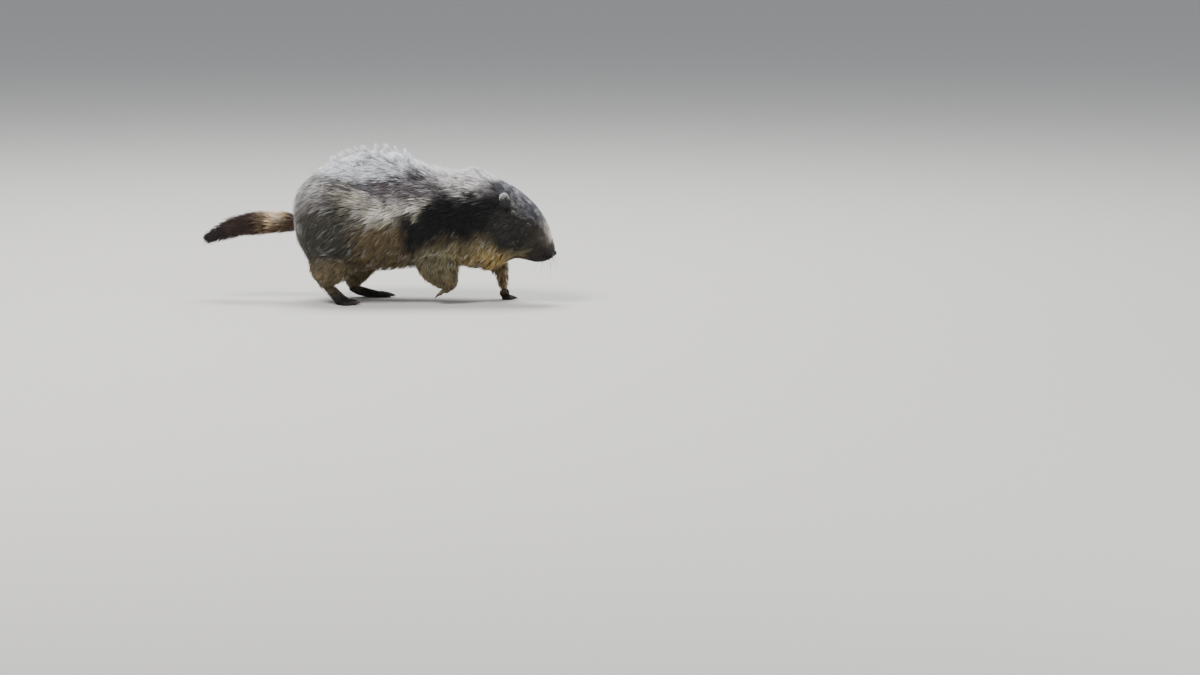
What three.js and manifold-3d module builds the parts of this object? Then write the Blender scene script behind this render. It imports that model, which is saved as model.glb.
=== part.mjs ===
// An alpine marmot in mid stride, life size, as a still museum model.
// Millimetres, +X towards the nose, +Y to the animal's left, +Z up, with the floor at z = 0.
import * as THREE from "three";
import { mergeVertices } from "three/addons/utils/BufferGeometryUtils.js";
import Module from "manifold-3d";

const wasm = await Module();
wasm.setup();

// Driving sizes
const partingGap = 0.3; // between any two neighbouring pieces
const headTurn = -0.24; // radians, towards the animal's right
const neckBends = { from: 132, to: 192 }; // x where the turn of the head begins and ends
const neckCut = 12.2; // stations of the trunk where the neck leaves the torso, and the head the neck
const headCut = 13.35;
const stationStep = 19; // the least distance between two stations at those cuts
const furSeed = 7;

const vec = (x, y, z) => new THREE.Vector3(x, y, z);
const mix = (a, b, t) => a + (b - a) * t;
const clamp01 = (t) => Math.min(1, Math.max(0, t));
const ease = (a, b, x) => {
  const t = clamp01((x - a) / (b - a));
  return t * t * (3 - 2 * t);
};
const upAxis = vec(0, 0, 1);

// A repeatable stream of random numbers between -1 and 1.
function randomStream(seed) {
  let state = seed;
  return () => {
    state = (state + 0x6d2b79f5) | 0;
    let t = Math.imul(state ^ (state >>> 15), 1 | state);
    t = (t + Math.imul(t ^ (t >>> 7), 61 | t)) ^ t;
    return ((t ^ (t >>> 14)) >>> 0) / 2 ** 31 - 1;
  };
}
const random = randomStream(furSeed);

// A closed skin over rings of points, each ring going from its side to its top, between two end points.
function spindle(rings, start, tip) {
  const around = rings[0].length;
  const points = [...rings.flat(), start, tip];
  const first = points.length - 2;
  const last = points.length - 1;
  const index = [];
  for (let j = 0; j < around; j++) {
    const k = (j + 1) % around;
    index.push(first, k, j);
    for (let i = 0; i + 1 < rings.length; i++) {
      const a = i * around;
      const b = a + around;
      index.push(a + j, a + k, b + k, a + j, b + k, b + j);
    }
    const end = (rings.length - 1) * around;
    index.push(last, end + j, end + k);
  }
  return new THREE.BufferGeometry().setFromPoints(points).setIndex(index);
}

// The same with flat ends, unless a tip is given.
function skinOver(rings, tip) {
  const middle = (ring) => ring.reduce((sum, p) => sum.add(p), vec(0, 0, 0)).divideScalar(ring.length);
  return spindle(rings, middle(rings[0]), tip ?? middle(rings.at(-1)));
}

// A geometry as a solid that can be joined and cut.
function solidOf(geometry) {
  const bare = geometry.clone();
  bare.deleteAttribute("normal");
  bare.deleteAttribute("uv");
  const merged = mergeVertices(bare, 1e-4);
  return new wasm.Manifold(
    new wasm.Mesh({
      numProp: 3,
      vertProperties: new Float32Array(merged.attributes.position.array),
      triVerts: new Uint32Array(merged.index.array),
    }),
  );
}

function geometryOf(solid) {
  const mesh = solid.getMesh();
  const geometry = new THREE.BufferGeometry();
  geometry.setAttribute("position", new THREE.BufferAttribute(mesh.vertProperties, 3));
  geometry.setIndex(new THREE.BufferAttribute(mesh.triVerts, 1));
  geometry.computeVertexNormals();
  return geometry;
}

const joined = (solids) => wasm.Manifold.union(solids);
const without = (solid, cuts) => (cuts.length > 0 ? solid.subtract(joined(cuts)) : solid);

// The largest closed surface of a solid, without loose scraps or sealed hollows.
function mainPiece(solid) {
  const pieces = solid.decompose();
  pieces.sort((a, b) => b.volume() - a.volume());
  return pieces[0];
}

// A body swept through stations. A station has the middle of a section and the vectors from there to
// its side, top and bottom. u counts the stations, and turn goes round from the side to the top.
class Sweep {
  constructor(stations, { squareness = 2, bumps = [], bend = (p) => p } = {}) {
    this.rows = stations.map(({ middle, side, top, bottom }) =>
      [middle, side, top, bottom].flatMap((v) => v.toArray()),
    );
    this.power = 2 / squareness;
    this.bumps = bumps;
    this.bend = bend;
  }

  get last() {
    return this.rows.length - 1;
  }

  // The section at u, on a smooth curve through the stations.
  section(u) {
    const i = Math.min(Math.floor(clamp01(u / this.last) * this.last), this.last - 1);
    const t = u - i;
    const row = (k) => this.rows[Math.min(Math.max(k, 0), this.last)];
    const values = row(i).map((b, n) => {
      const c = row(i + 1)[n];
      const slopeB = (c - row(i - 1)[n]) / (i > 0 ? 2 : 1);
      const slopeC = (row(i + 2)[n] - b) / (i + 2 <= this.last ? 2 : 1);
      return (
        b * (2 * t ** 3 - 3 * t ** 2 + 1) +
        slopeB * (t ** 3 - 2 * t ** 2 + t) +
        c * (3 * t ** 2 - 2 * t ** 3) +
        slopeC * (t ** 3 - t ** 2)
      );
    });
    return [0, 3, 6, 9].map((n) => new THREE.Vector3().fromArray(values, n));
  }

  // The surface point at u and turn, raised by grow.
  point(u, turn, grow = 0) {
    const [middle, side, top, bottom] = this.section(u);
    const across = Math.cos(turn);
    const upright = Math.sin(turn);
    const sized = (v) => v.clone().multiplyScalar(Math.max(0.3, 1 + grow / Math.max(v.length(), 1e-6)));
    const p = middle
      .clone()
      .addScaledVector(sized(side), Math.sign(across) * Math.abs(across) ** this.power)
      .addScaledVector(sized(upright > 0 ? top : bottom), Math.abs(upright) ** this.power);
    const out = p.clone().sub(middle).normalize();
    for (const { at, spread, height } of this.bumps) {
      const away = [p.x, Math.abs(p.y), p.z].map((value, axis) => (value - at[axis]) / spread[axis]);
      p.addScaledVector(out, height * Math.exp(-away.reduce((sum, d) => sum + d * d, 0)));
    }
    return this.bend(p);
  }

  // A surface point, the outward direction there, and how the point moves with u and with turn.
  place(u, turn, grow = 0) {
    const step = 0.02;
    const alongU = this.point(u + step, turn, grow).sub(this.point(u - step, turn, grow));
    const alongTurn = this.point(u, turn + step, grow).sub(this.point(u, turn - step, grow));
    alongU.divideScalar(2 * step);
    alongTurn.divideScalar(2 * step);
    const out = alongTurn.clone().cross(alongU).normalize();
    return { at: this.point(u, turn, grow), out, alongU, alongTurn };
  }

  // The change of u and turn that moves one millimetre along the surface in a direction.
  heading({ out, alongU, alongTurn }, way) {
    const flat = way.clone().addScaledVector(out, -way.dot(out)).normalize();
    const [uu, tt, ut] = [alongU.lengthSq(), alongTurn.lengthSq(), alongU.dot(alongTurn)];
    const [fu, ft] = [flat.dot(alongU), flat.dot(alongTurn)];
    const area = Math.max(uu * tt - ut * ut, 1e-6);
    return { flat, du: (fu * tt - ft * ut) / area, dturn: (ft * uu - fu * ut) / area };
  }

  // The closed solid from one u to another, raised by grow, which may be a function of u.
  solid({ from = 0, to = this.last, rows, around, grow = 0 }) {
    const raised = typeof grow === "function" ? grow : () => grow;
    const rings = [];
    for (let i = 0; i <= rows; i++) {
      const u = mix(from, to, i / rows);
      const turnOf = (j) => (2 * Math.PI * j) / around;
      rings.push(Array.from({ length: around }, (_, j) => this.point(u, turnOf(j), raised(u))));
    }
    return solidOf(skinOver(rings));
  }
}

// A limb swept along a path. A station gives its place, half depth from front to back and half width.
function limb(stations) {
  const path = stations.map(({ at }) => vec(...at));
  return new Sweep(
    stations.map(({ depth, width }, i) => {
      const along = path[Math.min(i + 1, path.length - 1)].clone().sub(path[Math.max(i - 1, 0)]).normalize();
      const side = vec(0, 1, 0).addScaledVector(along, -along.y).normalize();
      const front = along.clone().cross(side);
      return {
        middle: path[i],
        side: side.multiplyScalar(width),
        top: front.clone().multiplyScalar(depth),
        bottom: front.multiplyScalar(-depth),
      };
    }),
  );
}

// A ball stretched to three radii: outward, upward and across. axes gives the first two directions.
function ball(middle, radii, { out = vec(1, 0, 0), up = vec(0, 0, 1), grow = 0, fine = 20 } = {}) {
  const shape = new THREE.SphereGeometry(1, fine, Math.round(fine * 0.6));
  shape.scale(...radii.map((r) => r + grow));
  shape.applyMatrix4(new THREE.Matrix4().makeBasis(out, up, out.clone().cross(up)));
  shape.translate(...middle);
  return solidOf(shape);
}

// A round cord along points, for lips and for the lines cut between them.
function cord(points, radius, halfSides = 3) {
  const outline = new THREE.Shape().absarc(0, 0, radius, 0, 2 * Math.PI);
  const extrudePath = new THREE.CatmullRomCurve3(points);
  const steps = 2 * points.length - 2;
  return solidOf(new THREE.ExtrudeGeometry(outline, { extrudePath, steps, curveSegments: halfSides }));
}

// The trunk from rump to nose, out to the tips of the coat: the top and bottom of each section in side
// view, as [x, z], its half width, and how far up it is widest.
const trunkStations = [
  { top: [-140, 146], bottom: [-140, 126], half: 12, widest: 0.5 }, // rump
  { top: [-136, 173], bottom: [-133, 96], half: 40, widest: 0.48 },
  { top: [-123, 195], bottom: [-120, 77], half: 63, widest: 0.44 },
  { top: [-98, 215], bottom: [-96, 63], half: 80, widest: 0.41 },
  { top: [-72, 231], bottom: [-70, 57], half: 89, widest: 0.4 }, // haunches
  { top: [-34, 244], bottom: [-34, 54], half: 93, widest: 0.38 },
  { top: [6, 249], bottom: [4, 55], half: 92, widest: 0.37 }, // top of the back
  { top: [37, 242], bottom: [36, 58], half: 87, widest: 0.37 },
  { top: [68, 230], bottom: [66, 61], half: 82, widest: 0.38 },
  { top: [104, 219], bottom: [102, 63], half: 78, widest: 0.4 },
  { top: [128, 217], bottom: [124, 64], half: 76, widest: 0.42 },
  { top: [153, 222], bottom: [147, 61], half: 72, widest: 0.42 }, // withers
  { top: [178, 217], bottom: [167, 55], half: 65, widest: 0.42 },
  { top: [204, 203], bottom: [187, 51], half: 56, widest: 0.44 }, // neck
  { top: [229, 190], bottom: [209, 65], half: 48, widest: 0.46 }, // cheeks
  { top: [251, 173], bottom: [230, 73], half: 41, widest: 0.5 },
  { top: [268, 156], bottom: [246, 72], half: 33, widest: 0.48 }, // eyes
  { top: [282, 135], bottom: [259, 69.5], half: 27, widest: 0.42 },
  { top: [290, 114], bottom: [269, 68.5], half: 22, widest: 0.42 }, // muzzle
  { top: [295, 98], bottom: [279, 70], half: 16.5, widest: 0.46 },
  { top: [297, 89], bottom: [288, 74], half: 9.5, widest: 0.5 },
  { top: [296.5, 83.5], bottom: [294, 79], half: 3, widest: 0.5 }, // nose
];

const trunkBumps = [
  { at: [-64, 78, 98], spread: [46, 40, 50], height: 9 }, // thigh
  { at: [96, 66, 98], spread: [36, 40, 44], height: 9 }, // shoulder
  { at: [30, 88, 150], spread: [26, 40, 40], height: -4 }, // hollow of the flank
  { at: [228, 46, 108], spread: [16, 14, 20], height: 3.5 }, // cheek
  { at: [253, 26, 148], spread: [12, 12, 6], height: 2.2 }, // brow
  { at: [255, 32, 133], spread: [8, 12, 7], height: -2.2 }, // eye hollow
  { at: [266, 26, 112], spread: [12, 12, 12], height: -2 }, // side of the nose
  { at: [280, 20, 86], spread: [10, 12, 9], height: 2.2 }, // whisker pad
];

// Turns the head about an upright axis at the root of the neck.
function turnedNeck(p) {
  const pivot = vec(neckBends.from, 0, 0);
  const angle = headTurn * ease(neckBends.from, neckBends.to, p.x);
  return p.sub(pivot).applyAxisAngle(vec(0, 0, 1), angle).add(pivot);
}

const trunk = new Sweep(
  trunkStations.map(({ top, bottom, half, widest }) => {
    const high = vec(top[0], 0, top[1]);
    const low = vec(bottom[0], 0, bottom[1]);
    const middle = low.clone().lerp(high, widest);
    return { middle, side: vec(0, half, 0), top: high.sub(middle), bottom: low.sub(middle) };
  }),
  { squareness: 2.2, bumps: trunkBumps, bend: turnedNeck },
);

// The tail, from its root in the rump to its tip.
const tail = limb([
  { at: [-104, 0, 131], depth: 15, width: 15 },
  { at: [-140, 0, 130], depth: 18, width: 18 },
  { at: [-172, 2, 129], depth: 19.5, width: 19 },
  { at: [-204, 5, 127], depth: 20.5, width: 20 },
  { at: [-232, 8, 122], depth: 18.5, width: 18 },
  { at: [-256, 11, 114], depth: 15, width: 14 },
  { at: [-276, 13, 105], depth: 9.5, width: 9 },
  { at: [-291, 14, 97], depth: 2.5, width: 2.5 },
]);

// The legs, each with the shoulder or haunch that belongs to it, and its foot.
const thighRadii = [50, 58, 40]; // along, upward and across
const shoulderRadii = [42, 50, 36];
const hindFoot = { toes: 5, width: 31, thickness: 16, toeLength: 20, toeRadius: 4.2, clawLength: 11 };
const forePaw = { toes: 4, width: 24, thickness: 14, toeLength: 11.5, toeRadius: 4, clawLength: 10 };
const legs = [
  {
    name: "hindleg_right",
    footName: "hindfoot_right",
    socket: { at: [-66, -72, 100], radii: thighRadii },
    bone: limb([
      { at: [-60, -46, 112], depth: 44, width: 34 },
      { at: [-68, -50, 82], depth: 42, width: 28 },
      { at: [-77, -54, 60], depth: 35, width: 25 },
      { at: [-81, -53, 47], depth: 28, width: 21 },
      { at: [-84, -50, 38], depth: 19, width: 16 },
      { at: [-86, -46, 31], depth: 9, width: 9 },
    ]),
    foot: {
      ...hindFoot,
      heel: [-89, -43, 34],
      knuckles: [-52, -66, 3.6],
      toward: [0.8, -0.6, 0],
      across: [0.6, 0.8, 0],
    },
  },
  {
    name: "hindleg_left",
    footName: "hindfoot_left",
    socket: { at: [-50, 72, 100], radii: thighRadii },
    bone: limb([
      { at: [-44, 46, 112], depth: 44, width: 34 },
      { at: [-38, 50, 82], depth: 40, width: 28 },
      { at: [-38, 54, 58], depth: 31, width: 24 },
      { at: [-44, 55, 40], depth: 22, width: 18 },
      { at: [-49, 52, 26], depth: 15, width: 13 },
      { at: [-50, 50, 17], depth: 8, width: 8 },
    ]),
    foot: {
      ...hindFoot,
      heel: [-52, 49, 13],
      knuckles: [-8, 59, 3.5],
      toward: [0.97, 0.24, 0],
      across: [-0.24, 0.97, 0],
    },
  },
  {
    name: "foreleg_right",
    footName: "forepaw_right",
    socket: { at: [98, -66, 110], radii: shoulderRadii },
    bone: limb([
      { at: [98, -40, 108], depth: 40, width: 26 },
      { at: [101, -47, 78], depth: 40, width: 24 },
      { at: [107, -51, 57], depth: 34, width: 20 },
      { at: [115, -51, 42], depth: 23, width: 16 },
      { at: [121, -49, 32], depth: 15, width: 12.5 },
      { at: [123, -48, 25], depth: 8, width: 8.5 },
    ]),
    foot: {
      ...forePaw,
      heel: [125, -47.5, 28],
      knuckles: [113, -47, 21],
      toward: [-0.86, 0, -0.5],
      across: [0, -1, 0],
    },
  },
  {
    name: "foreleg_left",
    footName: "forepaw_left",
    socket: { at: [146, 58, 104], radii: shoulderRadii },
    bone: limb([
      { at: [160, 40, 100], depth: 32, width: 24 },
      { at: [178, 42, 78], depth: 27, width: 20 },
      { at: [193, 40, 58], depth: 17.5, width: 14.5 },
      { at: [199.5, 37, 44], depth: 12, width: 11 },
      { at: [201.5, 35, 29], depth: 9.5, width: 9.5 },
      { at: [203, 34, 19], depth: 7, width: 7.5 },
    ]),
    foot: {
      ...forePaw,
      heel: [202, 34, 19],
      knuckles: [206, 34, 2.6],
      toward: [0.99, -0.1, 0],
      across: [0.1, 0.99, 0],
    },
  },
];

// A claw: a bent cone from its root in the end of a toe.
function claw(root, forward, side, { length, radius, grow }) {
  const up = forward.clone().cross(side);
  const drop = 1.1 * radius;
  const rings = [0, 0.45].map((t) => {
    const size = radius * (1 - 0.45 * t) + grow;
    const middle = root.clone().addScaledVector(forward, length * t).addScaledVector(up, drop * t * (1 - t));
    return Array.from({ length: 4 }, (_, j) =>
      middle
        .clone()
        .addScaledVector(side, 0.8 * size * Math.cos((Math.PI * j) / 2))
        .addScaledVector(up, size * Math.sin((Math.PI * j) / 2)),
    );
  });
  const tip = root.clone().addScaledVector(forward, length + grow).addScaledVector(up, -drop);
  return solidOf(skinOver(rings, tip));
}

// A foot: its sole from the heel to the knuckles, then toes that fan out, each with a claw.
function foot(sizes, grow = 0) {
  const { toes, width, thickness, toeLength, toeRadius, clawLength } = sizes;
  const heel = vec(...sizes.heel);
  const knuckles = vec(...sizes.knuckles);
  const forward = vec(...sizes.toward).normalize();
  const side = vec(...sizes.across).normalize();
  const up = forward.clone().cross(side);
  const over = knuckles.clone().sub(heel).normalize().cross(side).normalize();
  const flatOval = (middle, wide, high, upright) => ({
    middle,
    side: side.clone().multiplyScalar(wide + grow),
    top: upright.clone().multiplyScalar(high + grow),
    bottom: upright.clone().multiplyScalar(-high - grow),
  });
  const soleStations = [
    [-0.08, 0.24, 0.26],
    [0.06, 0.36, 0.5],
    [0.5, 0.42, 0.5],
    [0.92, 0.5, 0.44],
    [1.12, 0.44, 0.26],
  ].map(([t, wide, high]) =>
    flatOval(heel.clone().lerp(knuckles, t), wide * width, high * thickness, over),
  );
  const pieces = [new Sweep(soleStations, { squareness: 2.4 }).solid({ rows: 4, around: 8 })];
  for (let j = 0; j < toes; j++) {
    const place = (2 * j) / (toes - 1) - 1; // from -1 to 1 across the foot
    const reach = toeLength * (1 - 0.2 * place * place);
    const way = forward.clone().applyAxisAngle(up, 0.2 * place);
    const root = knuckles.clone().addScaledVector(side, place * (width * 0.5 - toeRadius));
    const along = (t, lift) =>
      root.clone().addScaledVector(way, reach * t).addScaledVector(up, toeRadius * lift);
    const toeStations = [
      [-0.3, 0, 0.7],
      [0.25, 0.3, 1],
      [0.65, 0.15, 0.95],
      [0.95, 0, 0.85],
      [1.1, 0, 0.4],
    ].map(([t, lift, size]) => flatOval(along(t, lift), toeRadius * size, toeRadius * size, up));
    pieces.push(new Sweep(toeStations).solid({ rows: 3, around: 5 }));
    pieces.push(claw(along(0.9, 0.25), way, side, { length: clawLength, radius: 2.1, grow }));
  }
  return joined(pieces);
}

// How far the tips of the long coat stand above its core, by station. The short fur of the face and
// legs has no locks.
const coatDepth = {
  trunk: (u) => 8 * (1 - ease(11.5, 14, u)),
  tail: (u) => 7 * (1 - ease(5, 7, u)),
};

// The lie of the coat: back along the trunk and tail, and down over the sides and the rump.
const lie = {
  trunk: ({ x, z }) => vec(-1, 0, -0.1 - 0.8 * ease(205, 80, z) - 1.3 * ease(-75, -125, x)),
  tail: () => vec(-1, 0, -0.15),
};

// How much higher the tips of the locks stand on top of the rump, where the coat is ruffled.
const ruffle = 14;
const ruffled = ({ x, z }) => ruffle * ease(215, 228, z) * ease(-95, -60, x) * ease(85, 45, x);

// One lock: a flat, ridged blade that tapers from a root deep in the core, bends along the surface and
// rises to the full depth of the coat at its tip. sway turns it aside, and grow makes it larger all round.
const lockRoot = { high: -0.6 };
const lockRings = [
  { along: 0.3, wide: 1, thick: 1, high: 0.2 },
  { along: 0.68, wide: 0.78, thick: 0.7, high: 0.6 },
];
const thinEdges = { side: 12, end: 18 }; // how much more a lock grows there than on its faces

function lock(body, { u, turn }, { length, width, thickness, depth, lie, sway, lift }, grow = 0) {
  const spot = () => {
    const here = body.place(u, turn, -depth(u));
    const way = lie(here.at).applyAxisAngle(here.out, sway);
    return { ...here, ...body.heading(here, way), rise: depth(u) };
  };
  const walk = (distance) => {
    const steps = 3;
    for (let i = 0; i < steps; i++) {
      const { du, dturn } = spot();
      u = Math.min(Math.max(u + (du * distance) / steps, 0.05), body.last - 0.05);
      turn += (dturn * distance) / steps;
    }
  };
  const start = spot();
  const root = start.at.addScaledVector(start.out, start.rise * lockRoot.high);
  let gone = 0;
  const middles = [];
  const rings = lockRings.map(({ along, wide, thick, high }) => {
    walk((along - gone) * length);
    gone = along;
    const { at, out, flat, rise } = spot();
    const side = out.clone().cross(flat);
    const low = at.addScaledVector(out, rise * high + lift * along ** 2);
    const half = 0.5 * width * wide + thinEdges.side * grow;
    middles.push(low);
    return [
      low.clone().addScaledVector(side, half).addScaledVector(out, -1.5 * grow),
      low.clone().addScaledVector(out, thickness * thick + 1.5 * grow),
      low.clone().addScaledVector(side, -half).addScaledVector(out, -1.5 * grow),
    ];
  });
  walk((1 - gone) * length);
  const { at, out, rise } = spot();
  const tip = at.addScaledVector(out, rise + lift);
  const beyond = (end, middle) => end.clone().sub(middle).setLength(thinEdges.end * grow).add(end);
  return solidOf(spindle(rings, beyond(root, middles[0]), beyond(tip, middles.at(-1))));
}

// How a row of locks is set out and varied. uneven and sway are shares of a lock's length and radians.
const rowOf = { samples: 12, least: 4, cover: 0.88, shiftU: 0.08, shiftTurn: 0.07, uneven: 0.1, sway: 0.1 };
// When a lock is rooted again: how much shorter, how short at the least, and what a sound one fills.
const retry = { shrink: 0.85, shortest: 0.4, fullness: 0.1, outside: 1 };

// Rows of locks round a body, set like shingles. Each comes with its root and its grown form, which
// is cut from the neighbours that it lies over. One that folds over itself is rooted again, shorter.
function coat(body, { from, to, rowStep, spacing, length, thickness, depth, lie, raised = () => 0 }) {
  const locks = [];
  let u = from;
  for (let row = 0; u < to; row++) {
    const turnOf = (j) => (2 * Math.PI * j) / rowOf.samples;
    const ring = Array.from({ length: rowOf.samples }, (_, j) => body.point(u, turnOf(j), -depth(u)));
    const girth = ring.reduce((sum, p, j) => sum + p.distanceTo(ring[(j + 1) % ring.length]), 0);
    const count = Math.max(rowOf.least, Math.round(girth / spacing));
    for (let k = 0; k < count; k++) {
      let hair;
      let long = length * (1 + rowOf.uneven * random());
      do {
        const start = {
          u: u + rowOf.shiftU * random(),
          turn: ((k + 0.5 * (row % 2) + rowOf.shiftTurn * random()) / count) * 2 * Math.PI,
        };
        const root = body.point(start.u, start.turn, -depth(start.u));
        const width = (rowOf.cover * girth) / count;
        const sway = rowOf.sway * random();
        const look = { length: long, width, thickness, depth, lie, sway, lift: raised(root) };
        const solid = lock(body, start, look);
        const grown = lock(body, start, look, partingGap);
        const full = solid.volume() > retry.fullness * long * width * thickness;
        const sound = full && solid.subtract(grown).volume() < retry.outside;
        hair = { root, u: start.u, solid, grown, sound };
        long *= retry.shrink;
      } while (!hair.sound && long > retry.shortest * length);
      if (hair.sound) locks.push(hair);
    }
    u += rowStep / body.place(u, Math.PI / 2, -depth(u)).alongU.length();
  }
  return locks;
}

// Above the floor, with room for the whole animal.
function aboveFloor(solid) {
  const room = 400;
  const shape = new THREE.BoxGeometry(2 * room, 2 * room, room);
  shape.translate(0, 0, room / 2);
  return solid.intersect(solidOf(shape));
}

const round = { body: 24, head: 30 };
const cutHalf = partingGap / stationStep / 2;
const trunkCore = (u) => -coatDepth.trunk(u);
const flesh = {
  torso: trunk.solid({ to: neckCut - cutHalf, rows: 21, around: round.body, grow: trunkCore }),
  neck: trunk.solid({
    from: neckCut + cutHalf,
    to: headCut - cutHalf,
    rows: 2,
    around: round.head,
    grow: trunkCore,
  }),
  head: trunk.solid({ from: headCut + cutHalf, rows: 22, around: round.head, grow: trunkCore }),
};
const limbClear = {}; // what the locks of the trunk leave free for each limb
const locks = { torso: [], neck: [], tail: [] };
const overCore = 1.5; // how far above the core of the trunk its locks are kept off the limbs
const trunkSkin = trunk.solid({ rows: 36, around: round.body, grow: (u) => overCore - coatDepth.trunk(u) });

for (const { name, socket, bone } of legs) {
  const joint = (grow) => ball(socket.at, socket.radii, { grow, fine: 12 });
  const shank = (grow) => bone.solid({ rows: 7, around: 12, grow });
  flesh[name] = flesh.torso.intersect(joint(0)).add(shank(0));
  limbClear[name] = joint(partingGap).intersect(trunkSkin).add(shank(partingGap));
  const cuts = [joint(partingGap), shank(partingGap)];
  flesh.torso = without(flesh.torso, cuts);
  flesh.neck = without(flesh.neck, cuts);
  locks[name] = [];
}
const tailCore = (grow) => tail.solid({ rows: 10, around: 10, grow: (u) => grow - coatDepth.tail(u) });
flesh.tail = tailCore(0).subtract(trunkSkin);
limbClear.tail = tailCore(partingGap);
locks.tail = coat(tail, {
  from: 1.05,
  to: 6,
  rowStep: 36,
  spacing: 25,
  length: 58,
  thickness: 3.4,
  depth: coatDepth.tail,
  lie: lie.tail,
});

// The locks of the trunk belong to the piece that their roots are in.
const trunkLocks = coat(trunk, {
  from: 1.5,
  to: headCut,
  rowStep: 43,
  spacing: 48,
  length: 72,
  thickness: 3.6,
  depth: coatDepth.trunk,
  lie: lie.trunk,
  raised: ruffled,
});
for (const hair of trunkLocks) {
  const owner = legs.find(({ socket: { at, radii } }) => {
    const [along, upward, across] = radii;
    const away = hair.root.toArray().map((value, axis) => (value - at[axis]) / [along, across, upward][axis]);
    return Math.hypot(...away) < 1;
  });
  locks[owner?.name ?? (hair.u > neckCut ? "neck" : "torso")].push(hair);
}

// The coats join their pieces one after the other, each cut clear of the locks and limbs before it.
const grownOf = (names) => names.flatMap((name) => locks[name].map(({ grown }) => grown));
Object.keys(locks).forEach((name, i, names) => {
  const isLimb = name in limbClear;
  const others = names.filter((other) => other !== name);
  const bare = isLimb ? flesh[name] : without(flesh[name], grownOf(others));
  const fur = without(joined(locks[name].map(({ solid }) => solid)), grownOf(names.slice(0, i)));
  const whole = joined([bare, fur]);
  flesh[name] = isLimb ? whole : without(whole, Object.values(limbClear));
});
for (const { name, footName, foot: sizes } of legs) {
  flesh[name] = flesh[name].subtract(foot(sizes, partingGap));
  flesh[footName] = aboveFloor(foot(sizes));
}

// Eyes: a ball in a socket, behind two lids that leave an almond-shaped opening.
const eyes = { u: 16.05, turn: 0.46, radius: 6.2, sunk: 5, lid: 1.6 };
const browRadii = [6, 2.4, 9];
const opening = { deep: 8, high: 3.4, wide: 5 };

// Ears: a rounded cup, open forward and outward, sunk in the side of the head.
const ears = { u: 14, turn: 0.67, thick: 5, high: 12.5, wide: 10, wall: 1.7, raised: 4.5, aside: 1 };
const earAim = { outward: 0.75, forward: 0.65, lean: 0.25 };
const earHollow = { forward: 3.6, up: 0.5 };

const headForward = vec(1, 0, 0).applyAxisAngle(upAxis, headTurn);
const sides = {
  left: (turn) => turn,
  right: (turn) => Math.PI - turn,
};
for (const [side, turnOf] of Object.entries(sides)) {
  const eye = trunk.place(eyes.u, turnOf(eyes.turn));
  const axes = { out: eye.out, up: upAxis.clone().addScaledVector(eye.out, -eye.out.z).normalize() };
  const middle = eye.at.clone().addScaledVector(eye.out, -eyes.sunk);
  const eyeball = (grow) => ball(middle, [eyes.radius, eyes.radius, eyes.radius], { grow, fine: 12 });
  const slitMiddle = middle.clone().addScaledVector(eye.out, eyes.radius);
  const slit = ball(slitMiddle, [opening.deep, opening.high, opening.wide], { ...axes, fine: 10 });
  const browMiddle = middle.clone().addScaledVector(axes.up, eyes.radius);
  const brow = ball(browMiddle, browRadii, { ...axes, fine: 8 });
  flesh[`eye_${side}`] = eyeball(0);
  flesh.head = joined([flesh.head, eyeball(eyes.lid), brow]).subtract(eyeball(partingGap)).subtract(slit);

  const ear = trunk.place(ears.u, turnOf(ears.turn));
  const facing = ear.out.clone().multiplyScalar(earAim.outward).addScaledVector(headForward, earAim.forward);
  facing.normalize();
  const upward = upAxis.clone().addScaledVector(ear.out, earAim.lean);
  upward.addScaledVector(facing, -upward.dot(facing)).normalize();
  const earAxes = { out: facing, up: upward };
  const earMiddle = ear.at.clone().addScaledVector(upward, ears.raised).addScaledVector(ear.out, ears.aside);
  const cup = (grow) => ball(earMiddle, [ears.thick, ears.high, ears.wide], { ...earAxes, grow, fine: 14 });
  const hollowMiddle = earMiddle.clone().addScaledVector(facing, earHollow.forward);
  hollowMiddle.addScaledVector(upward, earHollow.up);
  const hollowRadii = [ears.thick, ears.high - ears.wall, ears.wide - ears.wall];
  flesh[`ear_${side}`] = cup(0).subtract(ball(hollowMiddle, hollowRadii, { ...earAxes, fine: 12 }));
  flesh.head = flesh.head.subtract(cup(partingGap));
}

// The mouth: a line from under the nose back to each corner, between two lips, and the cleft of the
// upper lip.
const mouthPath = [
  [16.9, -0.6],
  [17.6, -0.68],
  [18.4, -0.73],
  [19.2, -0.8],
  [20, -1.02],
  [20.4, -Math.PI / 2],
];
const lips = { radius: 2.8, inset: 1.7, line: 0.7 };
const mouthCord = (turnOf, radius, grow, halfSides) =>
  cord(mouthPath.map(([u, turn]) => trunk.point(u, turnOf(turn), grow)), radius, halfSides);
const lipCords = Object.values(sides).map((turnOf) => mouthCord(turnOf, lips.radius, -lips.inset, 3));
const lineGrow = lips.radius - lips.inset;
const mouthLines = Object.values(sides).map((turnOf) => mouthCord(turnOf, lips.line, lineGrow, 2));
const cleftPath = [20.3, 20.6, 20.9].map((u) => trunk.point(u, -Math.PI / 2, 0.4));
const cleft = cord(cleftPath, lips.line, 2);
flesh.head = without(joined([flesh.head, ...lipCords]), [...mouthLines, cleft]);

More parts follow.
